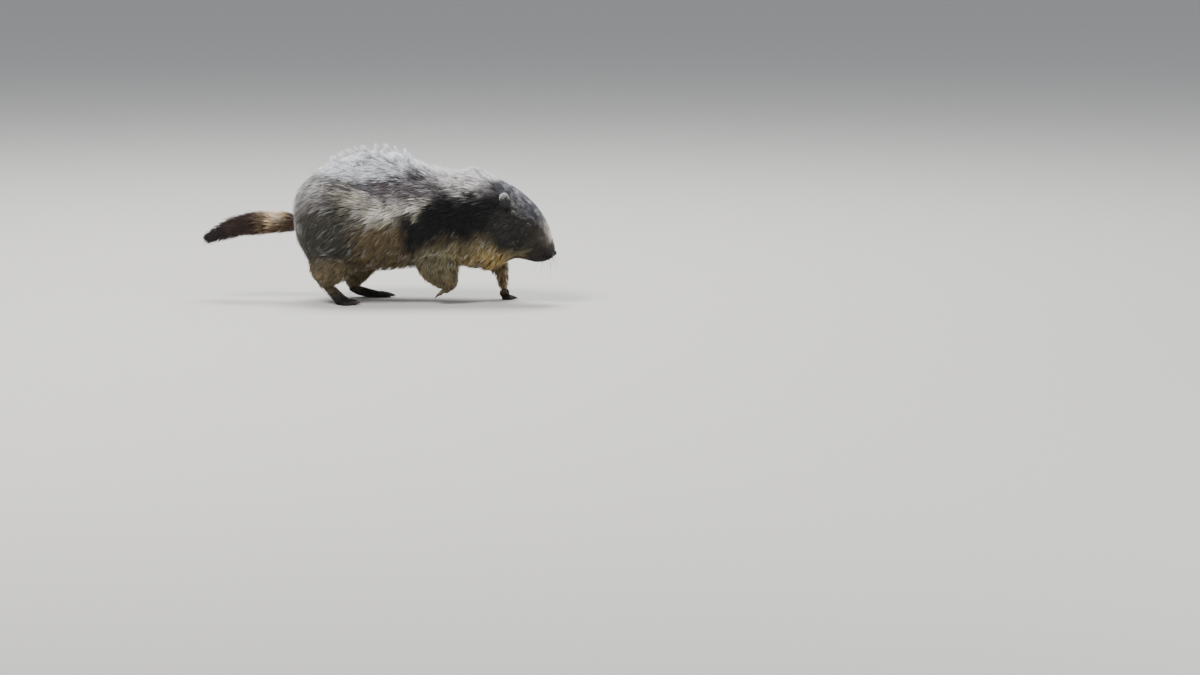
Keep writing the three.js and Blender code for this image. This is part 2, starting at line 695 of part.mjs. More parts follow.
// The nose: a bare pad at the tip of the muzzle, with two nostrils.
const pad = { behind: 3.5, deep: 6.5, high: 5.5, wide: 7.2 };
const nostril = { apart: 3.3, behind: 0.8, deep: 3, high: 1.7, wide: 1.2 };
const headSide = vec(0, 1, 0).applyAxisAngle(upAxis, headTurn);
const noseTip = trunk.point(20.9, Math.PI / 2);
const padMiddle = noseTip.clone().addScaledVector(headForward, -pad.behind);
const padBall = (grow) =>
  ball(padMiddle, [pad.deep, pad.high, pad.wide], { out: headForward, grow, fine: 10 });
const nostrils = [-1, 1].map((side) => {
  const at = padMiddle.clone().addScaledVector(headForward, pad.deep - nostril.behind);
  at.addScaledVector(headSide, side * nostril.apart);
  return ball(at, [nostril.deep, nostril.high, nostril.wide], { out: headForward, fine: 6 });
});
flesh.nose = without(padBall(0), nostrils);
flesh.head = flesh.head.subtract(padBall(partingGap));

const bodyFur = { color: 0x77726a, roughness: 0.95 };
const faceFur = { color: 0x4b4743, roughness: 0.9 };
const finishes = {
  head: faceFur,
  neck: bodyFur,
  torso: bodyFur,
  tail: { color: 0x3a2a22, roughness: 0.95 },
  nose: { color: 0x2a1f1e, roughness: 0.5 },
  eye: { color: 0x0b0706, roughness: 0.1 },
  ear: { color: 0x6c665e, roughness: 0.9 },
  hindleg: bodyFur,
  foreleg: bodyFur,
  hindfoot: { color: 0x24211f, roughness: 0.8 },
  forepaw: { color: 0x24211f, roughness: 0.8 },
};

const marmot = new THREE.Group();
for (const [name, solid] of Object.entries(flesh)) {
  const material = new THREE.MeshStandardMaterial({ ...finishes[name.split("_")[0]], metalness: 0 });
  const mesh = new THREE.Mesh(geometryOf(mainPiece(solid)), material);
  mesh.name = name;
  marmot.add(mesh);
}

// The origin is on the floor, under the middle of the whole animal.
const size = new THREE.Box3().setFromObject(marmot);
marmot.position.set(-(size.min.x + size.max.x) / 2, -(size.min.y + size.max.y) / 2, 0);

export default marmot;
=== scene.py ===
# An alpine marmot in mid stride: skin, coat, face and feet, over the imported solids.
# Shapes are worked out in millimetres, as the solids are, and put into meshes in metres.
import math

import bmesh
import bpy
import numpy as np
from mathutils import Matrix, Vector


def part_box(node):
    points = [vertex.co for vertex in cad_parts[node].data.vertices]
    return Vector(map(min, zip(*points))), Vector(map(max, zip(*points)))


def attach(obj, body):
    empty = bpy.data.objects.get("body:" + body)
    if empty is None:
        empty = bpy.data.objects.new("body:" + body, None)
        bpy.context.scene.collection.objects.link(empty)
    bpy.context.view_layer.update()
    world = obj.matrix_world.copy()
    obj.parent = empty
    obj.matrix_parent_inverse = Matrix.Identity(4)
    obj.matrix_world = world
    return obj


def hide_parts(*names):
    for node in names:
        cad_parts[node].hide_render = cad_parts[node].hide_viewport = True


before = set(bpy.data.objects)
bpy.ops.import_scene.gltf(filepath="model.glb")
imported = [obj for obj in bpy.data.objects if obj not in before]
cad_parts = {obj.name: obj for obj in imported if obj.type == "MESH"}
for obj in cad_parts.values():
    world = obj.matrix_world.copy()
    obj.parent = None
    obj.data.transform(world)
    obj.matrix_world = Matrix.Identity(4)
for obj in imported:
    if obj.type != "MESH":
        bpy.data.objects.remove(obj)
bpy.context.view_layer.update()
metre = 1000.0  # millimetres in it
draw = np.random.default_rng(11)


# Small helpers on arrays of points

def length(v):
    return np.linalg.norm(v, axis=-1, keepdims=True)


def unit(v):
    return v / np.maximum(length(v), 1e-9)


def dot(a, b):
    return np.sum(a * b, axis=-1, keepdims=True)


def ease(a, b, x):
    # Smooth step from 0 at a to 1 at b.
    t = np.clip((x - a) / (b - a), 0, 1)
    return t * t * (3 - 2 * t)


def vec(*xyz):
    return np.array(xyz, float)


def flattened(way, normal):
    # The part of a direction that lies in the surface: way - normal * (way . normal), as a unit.
    return unit(way - normal * dot(way, normal))


def circle(count):
    # Angles once round, evenly spaced.
    return np.linspace(0, 2 * np.pi, count, endpoint=False)


def quads(a, b, c, d):
    # Two triangles for each four corners of a grid.
    return np.concatenate([np.stack(corners, -1).reshape(-1, 3) for corners in ((a, b, c), (a, c, d))])


def unrolled(values):
    # The first two axes of an array as one.
    return values.reshape(-1, *values.shape[2:])


def joined(rows):
    # Dictionaries of arrays with the same keys, end to end.
    return {key: np.concatenate([row[key] for row in rows]) for key in rows[0]}


class Sweep:
    # A body through stations, on a smooth curve from each to the next. A station has a middle and the
    # ways from it to its side, top and bottom. A point is middle + side * cos(turn) + top or bottom *
    # sin(turn), with a power that squares it, and bumps push it outwards.
    def __init__(self, rows, squareness=2.0, bumps=(), bend=None):
        self.rows = np.array(rows, float)
        self.last = len(self.rows) - 1
        self.power = 2 / squareness
        self.bumps = bumps
        self.bend = bend or (lambda p: p)

    def section(self, u):
        i = np.clip(np.floor(u).astype(int), 0, self.last - 1)
        t = (u - i)[..., None, None]
        row = lambda k: self.rows[np.clip(k, 0, self.last)]
        b, c = row(i), row(i + 1)
        slopeB = (c - row(i - 1)) / np.where(i > 0, 2, 1)[..., None, None]
        slopeC = (row(i + 2) - b) / np.where(i + 2 <= self.last, 2, 1)[..., None, None]
        curve = b * (2 * t**3 - 3 * t**2 + 1) + slopeB * (t**3 - 2 * t**2 + t)
        return curve + c * (3 * t**2 - 2 * t**3) + slopeC * (t**3 - t**2)

    def point(self, u, turn, grow=0.0):
        u, turn, grow = np.broadcast_arrays(*(np.asarray(x, float) for x in (u, turn, grow)))
        middle, side, top, bottom = np.moveaxis(self.section(u), -2, 0)
        across, upright = np.cos(turn)[..., None], np.sin(turn)[..., None]
        sized = lambda v: v * np.maximum(0.3, 1 + grow[..., None] / np.maximum(length(v), 1e-6))
        p = middle + sized(side) * np.sign(across) * np.abs(across) ** self.power
        p = p + sized(np.where(upright > 0, top, bottom)) * np.abs(upright) ** self.power
        out = unit(p - middle)
        for at, spread, height in self.bumps:
            mirrored = np.stack([p[..., 0], np.abs(p[..., 1]), p[..., 2]], -1)
            away = (mirrored - at) / spread
            p = p + out * height * np.exp(-dot(away, away))
        return self.bend(p)

    def place(self, u, turn):
        # A point, the way out of the surface there, and the way along the body.
        step = 0.02
        alongU = self.point(u + step, turn) - self.point(u - step, turn)
        alongTurn = self.point(u, turn + step) - self.point(u, turn - step)
        return self.point(u, turn), unit(np.cross(alongTurn, alongU)), unit(alongU)

    def grid(self, last, rows, around, grow=np.zeros_like):
        # Rings of points up to a station, grown or shrunk as grow says for each station.
        u, turn = np.meshgrid(np.linspace(0, last, rows + 1), circle(around), indexing="ij")
        return u, turn, self.point(u, turn, grow(u))


def limb(stations):
    # A limb along a path: each station is x, y, z, half depth from front to back and half width.
    stations = np.array(stations, float)
    path = stations[:, :3]
    ends = np.vstack([path[:1], path, path[-1:]])
    along = unit(ends[2:] - ends[:-2])
    across = vec(0, 1, 0)
    side = flattened(across, along)
    front = np.cross(along, side)
    rows = [path, side * stations[:, 4:5], front * stations[:, 3:4], -front * stations[:, 3:4]]
    return Sweep(np.stack(rows, axis=1))


# The trunk, out to the tips of its coat. A station is top x and z, bottom x and z, half width, and the
# share of its height where it is widest
trunkStations = np.array([
    (-140, 146, -140, 126, 12, 0.5), (-136, 173, -133, 96, 40, 0.48), (-123, 195, -120, 77, 63, 0.44),
    (-98, 215, -96, 63, 80, 0.41), (-72, 231, -70, 57, 89, 0.4), (-34, 244, -34, 54, 93, 0.38),
    (6, 249, 4, 55, 92, 0.37), (37, 242, 36, 58, 87, 0.37), (68, 230, 66, 61, 82, 0.38),
    (104, 219, 102, 63, 78, 0.4), (128, 217, 124, 64, 76, 0.42), (153, 222, 147, 61, 72, 0.42),
    (178, 217, 167, 55, 65, 0.42), (204, 203, 187, 51, 56, 0.44), (229, 190, 209, 65, 48, 0.46),
    (251, 173, 230, 73, 41, 0.5), (268, 156, 246, 72, 33, 0.48), (282, 135, 259, 69.5, 27, 0.42),
    (290, 114, 269, 68.5, 22, 0.42), (295, 98, 279, 70, 16.5, 0.46), (297, 89, 288, 74, 9.5, 0.5),
    (296.5, 83.5, 294, 79, 3, 0.5),
])
trunkBumps = [
    (vec(-64, 78, 98), vec(46, 40, 50), 9),  # thigh
    (vec(96, 66, 98), vec(36, 40, 44), 9),  # shoulder
    (vec(30, 88, 150), vec(26, 40, 40), -4),  # hollow of the flank
    (vec(228, 46, 108), vec(16, 14, 20), 3.5),  # cheek
    (vec(253, 26, 148), vec(12, 12, 6), 2.2),  # brow
    (vec(255, 32, 133), vec(8, 12, 7), -2.2),  # eye hollow
    (vec(266, 26, 112), vec(12, 12, 12), -2),  # side of the nose
    (vec(280, 20, 86), vec(10, 12, 9), 2.2),  # whisker pad
]
neck = {"turn": -0.24, "from": 132, "to": 192}


def turned(p, back=False):
    # Points turned about an upright axis at the root of the neck, or turned back to a straight neck.
    x = p[..., 0]
    straight = x
    for _ in range(6 if back else 1):
        angle = neck["turn"] * ease(neck["from"], neck["to"], straight)
        if back:
            straight = neck["from"] + np.cos(angle) * (x - neck["from"]) + np.sin(angle) * p[..., 1]
    angle = -angle if back else angle
    dx, y = x - neck["from"], p[..., 1]
    spun = [neck["from"] + np.cos(angle) * dx - np.sin(angle) * y, np.sin(angle) * dx + np.cos(angle) * y]
    return np.stack([*spun, p[..., 2]], -1)


def turnedWay(way, x):
    # Directions turned as the head is, at points whose straight x is given.
    angle = neck["turn"] * ease(neck["from"], neck["to"], x)
    spun = [np.cos(angle) * way[..., 0] - np.sin(angle) * way[..., 1]]
    spun.append(np.sin(angle) * way[..., 0] + np.cos(angle) * way[..., 1])
    return np.stack([*spun, way[..., 2]], -1)


def trunkRows():
    # Middle, side, top and bottom of each station, as a Sweep takes them.
    s = trunkStations
    zero = np.zeros(len(s))
    high = np.stack([s[:, 0], zero, s[:, 1]], -1)
    low = np.stack([s[:, 2], zero, s[:, 3]], -1)
    middle = low + (high - low) * s[:, 5:6]
    side = np.stack([zero, s[:, 4], zero], -1)
    return np.stack([middle, side, high - middle, low - middle], axis=1)


trunk = Sweep(trunkRows(), squareness=2.2, bumps=trunkBumps, bend=turned)
tail = limb([
    (-104, 0, 131, 15, 15), (-140, 0, 130, 18, 18), (-172, 2, 129, 19.5, 19), (-204, 5, 127, 20.5, 20),
    (-232, 8, 122, 18.5, 18), (-256, 11, 114, 15, 14), (-276, 13, 105, 9.5, 9), (-291, 14, 97, 2.5, 2.5),
])
legs = {
    "hindleg_right": limb([
        (-60, -46, 112, 44, 34), (-68, -50, 82, 42, 28), (-77, -54, 60, 35, 25), (-81, -53, 47, 28, 21),
        (-84, -50, 38, 19, 16), (-86, -46, 31, 9, 9),
    ]),
    "hindleg_left": limb([
        (-44, 46, 112, 44, 34), (-38, 50, 82, 40, 28), (-38, 54, 58, 31, 24), (-44, 55, 40, 22, 18),
        (-49, 52, 26, 15, 13), (-50, 50, 17, 8, 8),
    ]),
    "foreleg_right": limb([
        (98, -40, 108, 40, 26), (101, -47, 78, 40, 24), (107, -51, 57, 34, 20), (115, -51, 42, 23, 16),
        (121, -49, 32, 15, 12.5), (123, -48, 25, 8, 8.5),
    ]),
    "foreleg_left": limb([
        (160, 40, 100, 32, 24), (178, 42, 78, 27, 20), (193, 40, 58, 17.5, 14.5), (199.5, 37, 44, 12, 11),
        (201.5, 35, 29, 9.5, 9.5), (203, 34, 19, 7, 7.5),
    ]),
}
hindFoot = {"toes": 5, "width": 31, "thickness": 16, "toeLength": 20, "toeRadius": 4.2, "clawLength": 11}
forePaw = {"toes": 4, "width": 24, "thickness": 14, "toeLength": 11.5, "toeRadius": 4, "clawLength": 10}
feet = {
    "hindfoot_right": dict(hindFoot, heel=(-89, -43, 34), knuckles=(-52, -66, 3.6), toward=(0.8, -0.6, 0),
                           across=(0.6, 0.8, 0)),
    "hindfoot_left": dict(hindFoot, heel=(-52, 49, 13), knuckles=(-8, 59, 3.5), toward=(0.97, 0.24, 0),
                          across=(-0.24, 0.97, 0)),
    "forepaw_right": dict(forePaw, heel=(125, -47.5, 28), knuckles=(113, -47, 21), toward=(-0.86, 0, -0.5),
                          across=(0, -1, 0)),
    "forepaw_left": dict(forePaw, heel=(202, 34, 19), knuckles=(206, 34, 2.6), toward=(0.99, -0.1, 0),
                         across=(0.1, 0.99, 0)),
}

# How far the skin lies under the tips of the coat, by station
coatDepth = {
    "trunk": ([0, 2, 10, 12, 13.2, 14.2, 15.2, 16.2, 17.5, 19, 20.3, 21],
              [12, 14, 15, 13.5, 10, 6.5, 4.6, 3.2, 2.4, 1.8, 1.2, 0.8]),
    "tail": ([0, 1, 4, 5, 5.5, 6, 6.5], [9, 12, 13, 10, 8, 5.5, 2.8]),
    "leg": ([0, 1, 2, 3, 4, 5], [12, 10, 8, 6, 4.6, 3.6]),
}


def depthOf(kind, u):
    # The depth there, from straight lines between the stations of the table.
    return np.interp(u, *coatDepth[kind])


# Eyes: where they sit on the trunk, the half height and width of the almond between the lids, how much
# thinner the coat is near them, and the angles from the front at which pupil and dark rim begin and end
eyeLook = {
    "u": 16.05, "turn": 0.46, "radius": 6.2, "sunk": 5.0, "high": 3.1, "wide": 4.9, "lid": 0.9, "tilt": 0.2,
    "thinner": 0.72, "near": (16, 9), "pupil": (0.34, 0.42), "rim": (0.82, 0.95), "grid": (48, 48),
}
sides = {"left": lambda turn: turn, "right": lambda turn: np.pi - turn}  # a turn there, given for the left
up = vec(0, 0, 1)


def onTrunk(look, side):
    return trunk.place(look["u"], sides[side](look["turn"]))


def eyeFrame(side):
    # The middle of the ball and its ways out, up and across, tilted about the way out.
    at, out, _ = onTrunk(eyeLook, side)
    upward = unit(up - out * out[2])
    ahead = np.cross(upward, out) * (1 if side == "right" else -1)
    upward = upward * math.cos(eyeLook["tilt"]) + ahead * math.sin(eyeLook["tilt"])
    return at - out * eyeLook["sunk"], out, upward, np.cross(out, upward)


# The solids stand a little aside from the design's own frame, so that their box is centred
eyeBox = np.array([list(corner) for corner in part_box("eye_left")])
shift = eyeBox.mean(0) * metre - eyeFrame("left")[0]
shift[2] = 0


# Meshes from arrays

keepSize = (0.5, -0.52)  # smooths without shrinking


def closedTube(rings):
    # Triangles over rings of points, closed at both ends by the middle of the end ring.
    n, around = rings.shape[:2]
    points = np.vstack([rings.reshape(-1, 3), rings[0].mean(0)[None], rings[-1].mean(0)[None]])
    i, j = np.meshgrid(np.arange(n - 1), np.arange(around), indexing="ij")
    k = (j + 1) % around
    sideFaces = quads(i * around + j, i * around + k, (i + 1) * around + k, (i + 1) * around + j)
    j = np.arange(around)
    k = (j + 1) % around
    end = (n - 1) * around
    first = np.stack([np.full(around, n * around), k, j], -1)
    last = np.stack([np.full(around, n * around + 1), end + j, end + k], -1)
    return points, np.concatenate([sideFaces, first, last])


def together(parts):
    # Several lists of points and faces as one.
    offset = np.cumsum([0] + [len(points) for points, _ in parts[:-1]])
    return np.vstack([p for p, _ in parts]), np.vstack([f + o for (_, f), o in zip(parts, offset)])


def placed(name, data):
    thing = bpy.data.objects.new(name, data)
    bpy.context.collection.objects.link(thing)
    return thing


def piece(name, points, faces, material=None, slot=None, attributes=None):
    # An object of triangles, smooth, with a value or a vector for each point in each attribute.
    mesh = bpy.data.meshes.new(name)
    mesh.vertices.add(len(points))
    mesh.vertices.foreach_set("co", ((points + shift) / metre).astype(np.float32).ravel())
    mesh.loops.add(faces.size)
    mesh.loops.foreach_set("vertex_index", faces.astype(np.int32).ravel())
    mesh.polygons.add(len(faces))
    mesh.polygons.foreach_set("loop_start", np.arange(0, faces.size, 3, dtype=np.int32))
    mesh.update(calc_edges=True)
    mesh.polygons.foreach_set("use_smooth", np.full(len(faces), True))
    for key, values in (attributes or {}).items():
        isVector = values.ndim == 2
        layer = mesh.attributes.new(key, "FLOAT_VECTOR" if isVector else "FLOAT", "POINT")
        layer.data.foreach_set("vector" if isVector else "value", values.astype(np.float32).ravel())
    thing = placed(name, mesh)
    if material:
        mesh.materials.append(material)
        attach(thing, "root")
    return thing


def arraysOf(mesh):
    # Points in millimetres and triangles of a mesh.
    mesh.calc_loop_triangles()
    points = np.empty(len(mesh.vertices) * 3, np.float32)
    mesh.vertices.foreach_get("co", points)
    faces = np.empty(len(mesh.loop_triangles) * 3, np.int32)
    mesh.loop_triangles.foreach_get("vertices", faces)
    return points.reshape(-1, 3).astype(float) * metre - shift, faces.reshape(-1, 3)


def edgesOf(faces):
    # Each edge of the faces once, as its two corners.
    pairs = np.sort(np.concatenate([faces[:, [0, 1]], faces[:, [1, 2]], faces[:, [2, 0]]]), axis=1)
    return np.unique(pairs, axis=0)


def relaxed(values, edges, steps, weights=(0.5,), hold=None):
    # Each value moved towards the mean of its neighbours, step by step. A negative weight after a
    # positive one puts back the size that the first one took.
    values = values.reshape(len(values), -1).copy()
    a, b = edges.T
    count = np.bincount(edges.ravel(), minlength=len(values))[:, None]
    for _ in range(steps):
        for weight in weights:
            total = np.stack([
                np.bincount(a, column[b], len(values)) + np.bincount(b, column[a], len(values))
                for column in values.T
            ], -1)
            change = weight * (total / np.maximum(count, 1) - values)
            values += change if hold is None else change * hold[:, None]
    return values


def normalsOf(points, faces):
    # The sum of the cross products of the faces round each point, as a unit.
    corner = points[faces]
    face = np.cross(corner[:, 1] - corner[:, 0], corner[:, 2] - corner[:, 0])
    total = np.stack([
        sum(np.bincount(faces[:, k], face[:, axis], len(points)) for k in range(3)) for axis in range(3)
    ], -1)
    return unit(total)


class Nearby:
    # The nearest of many points, from a grid of cells in which each cell remembers a point near it.
    def __init__(self, points, cell=3.0, reach=6, own=None):
        self.cell = cell
        own = np.arange(len(points)) if own is None else own
        points = points[own]
        self.low = points.min(0) - cell * (reach + 1)
        size = np.ceil((points.max(0) + cell * (reach + 1) - self.low) / cell).astype(int) + 1
        self.grid = np.full(size, -1)
        spot = ((points - self.low) / cell).astype(int)
        centre = self.low + (spot + 0.5) * cell
        order = np.argsort(-np.sum((points - centre) ** 2, axis=1))
        self.grid[tuple(spot[order].T)] = own[order]
        for _ in range(reach):
            before = self.grid.copy()
            for axis in range(3):
                for step in (1, -1):
                    moved = np.roll(before, step, axis)
                    self.grid = np.where(self.grid < 0, moved, self.grid)

    def __call__(self, points):
        spot = np.clip(((points - self.low) / self.cell).astype(int), 0, np.array(self.grid.shape) - 1)
        return self.grid[tuple(spot.T)]


def remeshed(name, points, faces, voxel):
    # One closed surface round crossing shells, by Blender's voxel remesh.
    rough = piece(name + "Rough", points, faces)
    grain = rough.modifiers.new("voxels", "REMESH")
    grain.mode = "VOXEL"
    grain.voxel_size = voxel / metre
    seen = rough.evaluated_get(bpy.context.evaluated_depsgraph_get())
    result = arraysOf(seen.to_mesh())
    seen.to_mesh_clear()
    bpy.data.objects.remove(rough)
    return result


def finer(points, faces, near):
    # The mesh with each edge halved where near says so, at both of its ends.
    bm = bmesh.new()
    mesh = bpy.data.meshes.new("finer")
    mesh.from_pydata(points.tolist(), [], faces.tolist())
    bm.from_mesh(mesh)
    bpy.data.meshes.remove(mesh)
    ends = np.array([[v.index for v in edge.verts] for edge in bm.edges])
    bm.edges.ensure_lookup_table()
    wanted = near(points)[ends].all(1)
    bmesh.ops.subdivide_edges(bm, edges=[bm.edges[i] for i in np.flatnonzero(wanted)], cuts=1)
    bmesh.ops.triangulate(bm, faces=bm.faces[:])
    bm.verts.index_update()
    result = np.array([v.co for v in bm.verts]), np.array([[v.index for v in f.verts] for f in bm.faces])
    bm.free()
    return result


# Materials: one class for a wire between nodes, and one for the nodes of a material

class Wire:
    def __init__(self, graph, socket):
        self.graph = graph
        self.socket = socket

    def math(self, operation, *others):
        return self.graph.add("Math", {"operation": operation}, dict(enumerate((self, *others))))

    def __add__(self, other):
        return self.math("ADD", other)

    def __sub__(self, other):
        return self.math("SUBTRACT", other)

    def __mul__(self, other):
        return self.math("MULTIPLY", other)

    def __rsub__(self, other):
        return self.graph.add("Math", {"operation": "SUBTRACT"}, {0: other, 1: self})

    __radd__ = __add__
    __rmul__ = __mul__


class Graph:
    def __init__(self, name):
        self.material = bpy.data.materials.new(name)
        self.material.use_nodes = True
        self.tree = self.material.node_tree
        self.shader = next(node for node in self.tree.nodes if node.type == "BSDF_PRINCIPLED")

    def plug(self, socket, value):
        if isinstance(value, Wire):
            self.tree.links.new(value.socket, socket)
        else:
            socket.default_value = value

    def add(self, kind, settings, inputs, output=0):
        node = self.tree.nodes.new("ShaderNode" + kind)
        for key, value in settings.items():
            setattr(node, key, value)
        for key, value in inputs.items():
            self.plug(node.inputs[key], value)
        return Wire(self, node.outputs[output])

    def surface(self, **inputs):
        for key, value in inputs.items():
            self.plug(self.shader.inputs[key.replace("_", " ")], value)
        return self.material

    def attribute(self, name, output=2):
        return self.add("Attribute", {"attribute_name": name}, {}, output)

    def vector(self, operation, a, b, output=0):
        return self.add("VectorMath", {"operation": operation}, {0: a, 1: b}, output)

    def place(self):
        # Object coordinates.
        return self.add("TexCoord", {}, {}, 3)

    def parts(self, vector):
        x = self.add("SeparateXYZ", {}, {0: vector})
        return [Wire(self, output) for output in x.socket.node.outputs]

    def noise(self, vector, scale, detail=3.0, output=0):
        return self.add("TexNoise", {}, {"Vector": vector, "Scale": scale, "Detail": detail}, output)

    def ramp(self, value, low, high, bottom=0.0, top=1.0):
        # Smooth step from one value to another.
        inputs = {0: value, 1: low, 2: high, 3: bottom, 4: top}
        return self.add("MapRange", {"interpolation_type": "SMOOTHSTEP"}, inputs)

    def spot(self, site, at, spread):
        # A soft spot: e to the minus squared distance, measured in spreads.
        away = self.vector("DIVIDE", self.vector("SUBTRACT", site, at), spread)
        squared = self.vector("DOT_PRODUCT", away, away, 1)
        return self.add("Math", {"operation": "POWER"}, {0: math.exp(-1), 1: squared})

    def blend(self, mask, a, b):
        return self.add("Mix", {"data_type": "RGBA", "clamp_factor": True}, {0: mask, 6: a, 7: b}, 2)

    def scaled(self, colour, amount):
        return self.add("Mix", {"data_type": "RGBA", "blend_type": "MULTIPLY"},
                        {0: 1.0, 6: colour, 7: self.grey(amount)}, 2)

    def grey(self, value):
        return self.add("CombineXYZ", {}, {0: value, 1: value, 2: value})

    def bump(self, height, strength, distance):
        return self.add("Bump", {}, {"Height": height, "Strength": strength, "Distance": distance})


def tone(code):
    # A colour from its hexadecimal code, as the shader's linear numbers.
    parts = [int(code[i:i + 2], 16) / 255 for i in (0, 2, 4)]
    return (*(c / 12.92 if c <= 0.04045 else ((c + 0.055) / 1.055) ** 2.4 for c in parts), 1.0)


# Some of these tones carry painted light and shade, as the comments where they are laid say.
furTones = {name: tone(code) for name, code in {
    "haunch": "403e36", "buff": "6a5b42", "shank": "7a6c50", "belly": "7a694c", "paintedSunlitBand": "cdc6b4",
    "mottle": "6f6468", "frostedAndSunlit": "dee2ec", "rump": "75706c", "saddle": "525054", "paintedNapeHighlight": "c0bab6",
    "paintedShoulderShade": "0d0d10", "olive": "787055", "gold": "b0965f", "cheek": "2d2c28", "chin": "5a4a3e",
    "crownAndSunlight": "595a62", "line": "8f8d8c", "bridge": "d2c6bc", "muzzle": "352f28", "lipSide": "272120",
    "foot": "272423", "tailBase": "4a3729", "tailPatch": "dcbf97", "tailMiddle": "35251f",
    "tailTip": "261d1c", "under": "1d1a19", "frost": "f8f7f8",
}.items()}


def furred(g, colour, frost, along, rand, streak):
    # Dark at the roots, shaded tuft by tuft, and pale at the tips of as many tufts as frost says.
    tipped = g.ramp(frost - rand, -0.1, 0.1) * g.ramp(along, 0.3, 0.8) * g.ramp(streak, 0.4, 0.54, 0.2)
    shaded = g.blend(g.ramp(along, 0.85, 0.1) * 0.85, colour, furTones["under"])
    shaded = g.scaled(shaded, (streak - 0.5) * 2.7 + rand * 0.85 + 0.68)
    return g.blend(tipped * (frost * 0.85 + 0.15), shaded, furTones["frost"])


# How far the markings wander, by two noises of these scales, and how far from one tuft to the next
wander = {"scales": (0.03, 0.11), "reach": (26, 7.8, 26), "mingled": (14, 0, 18)}


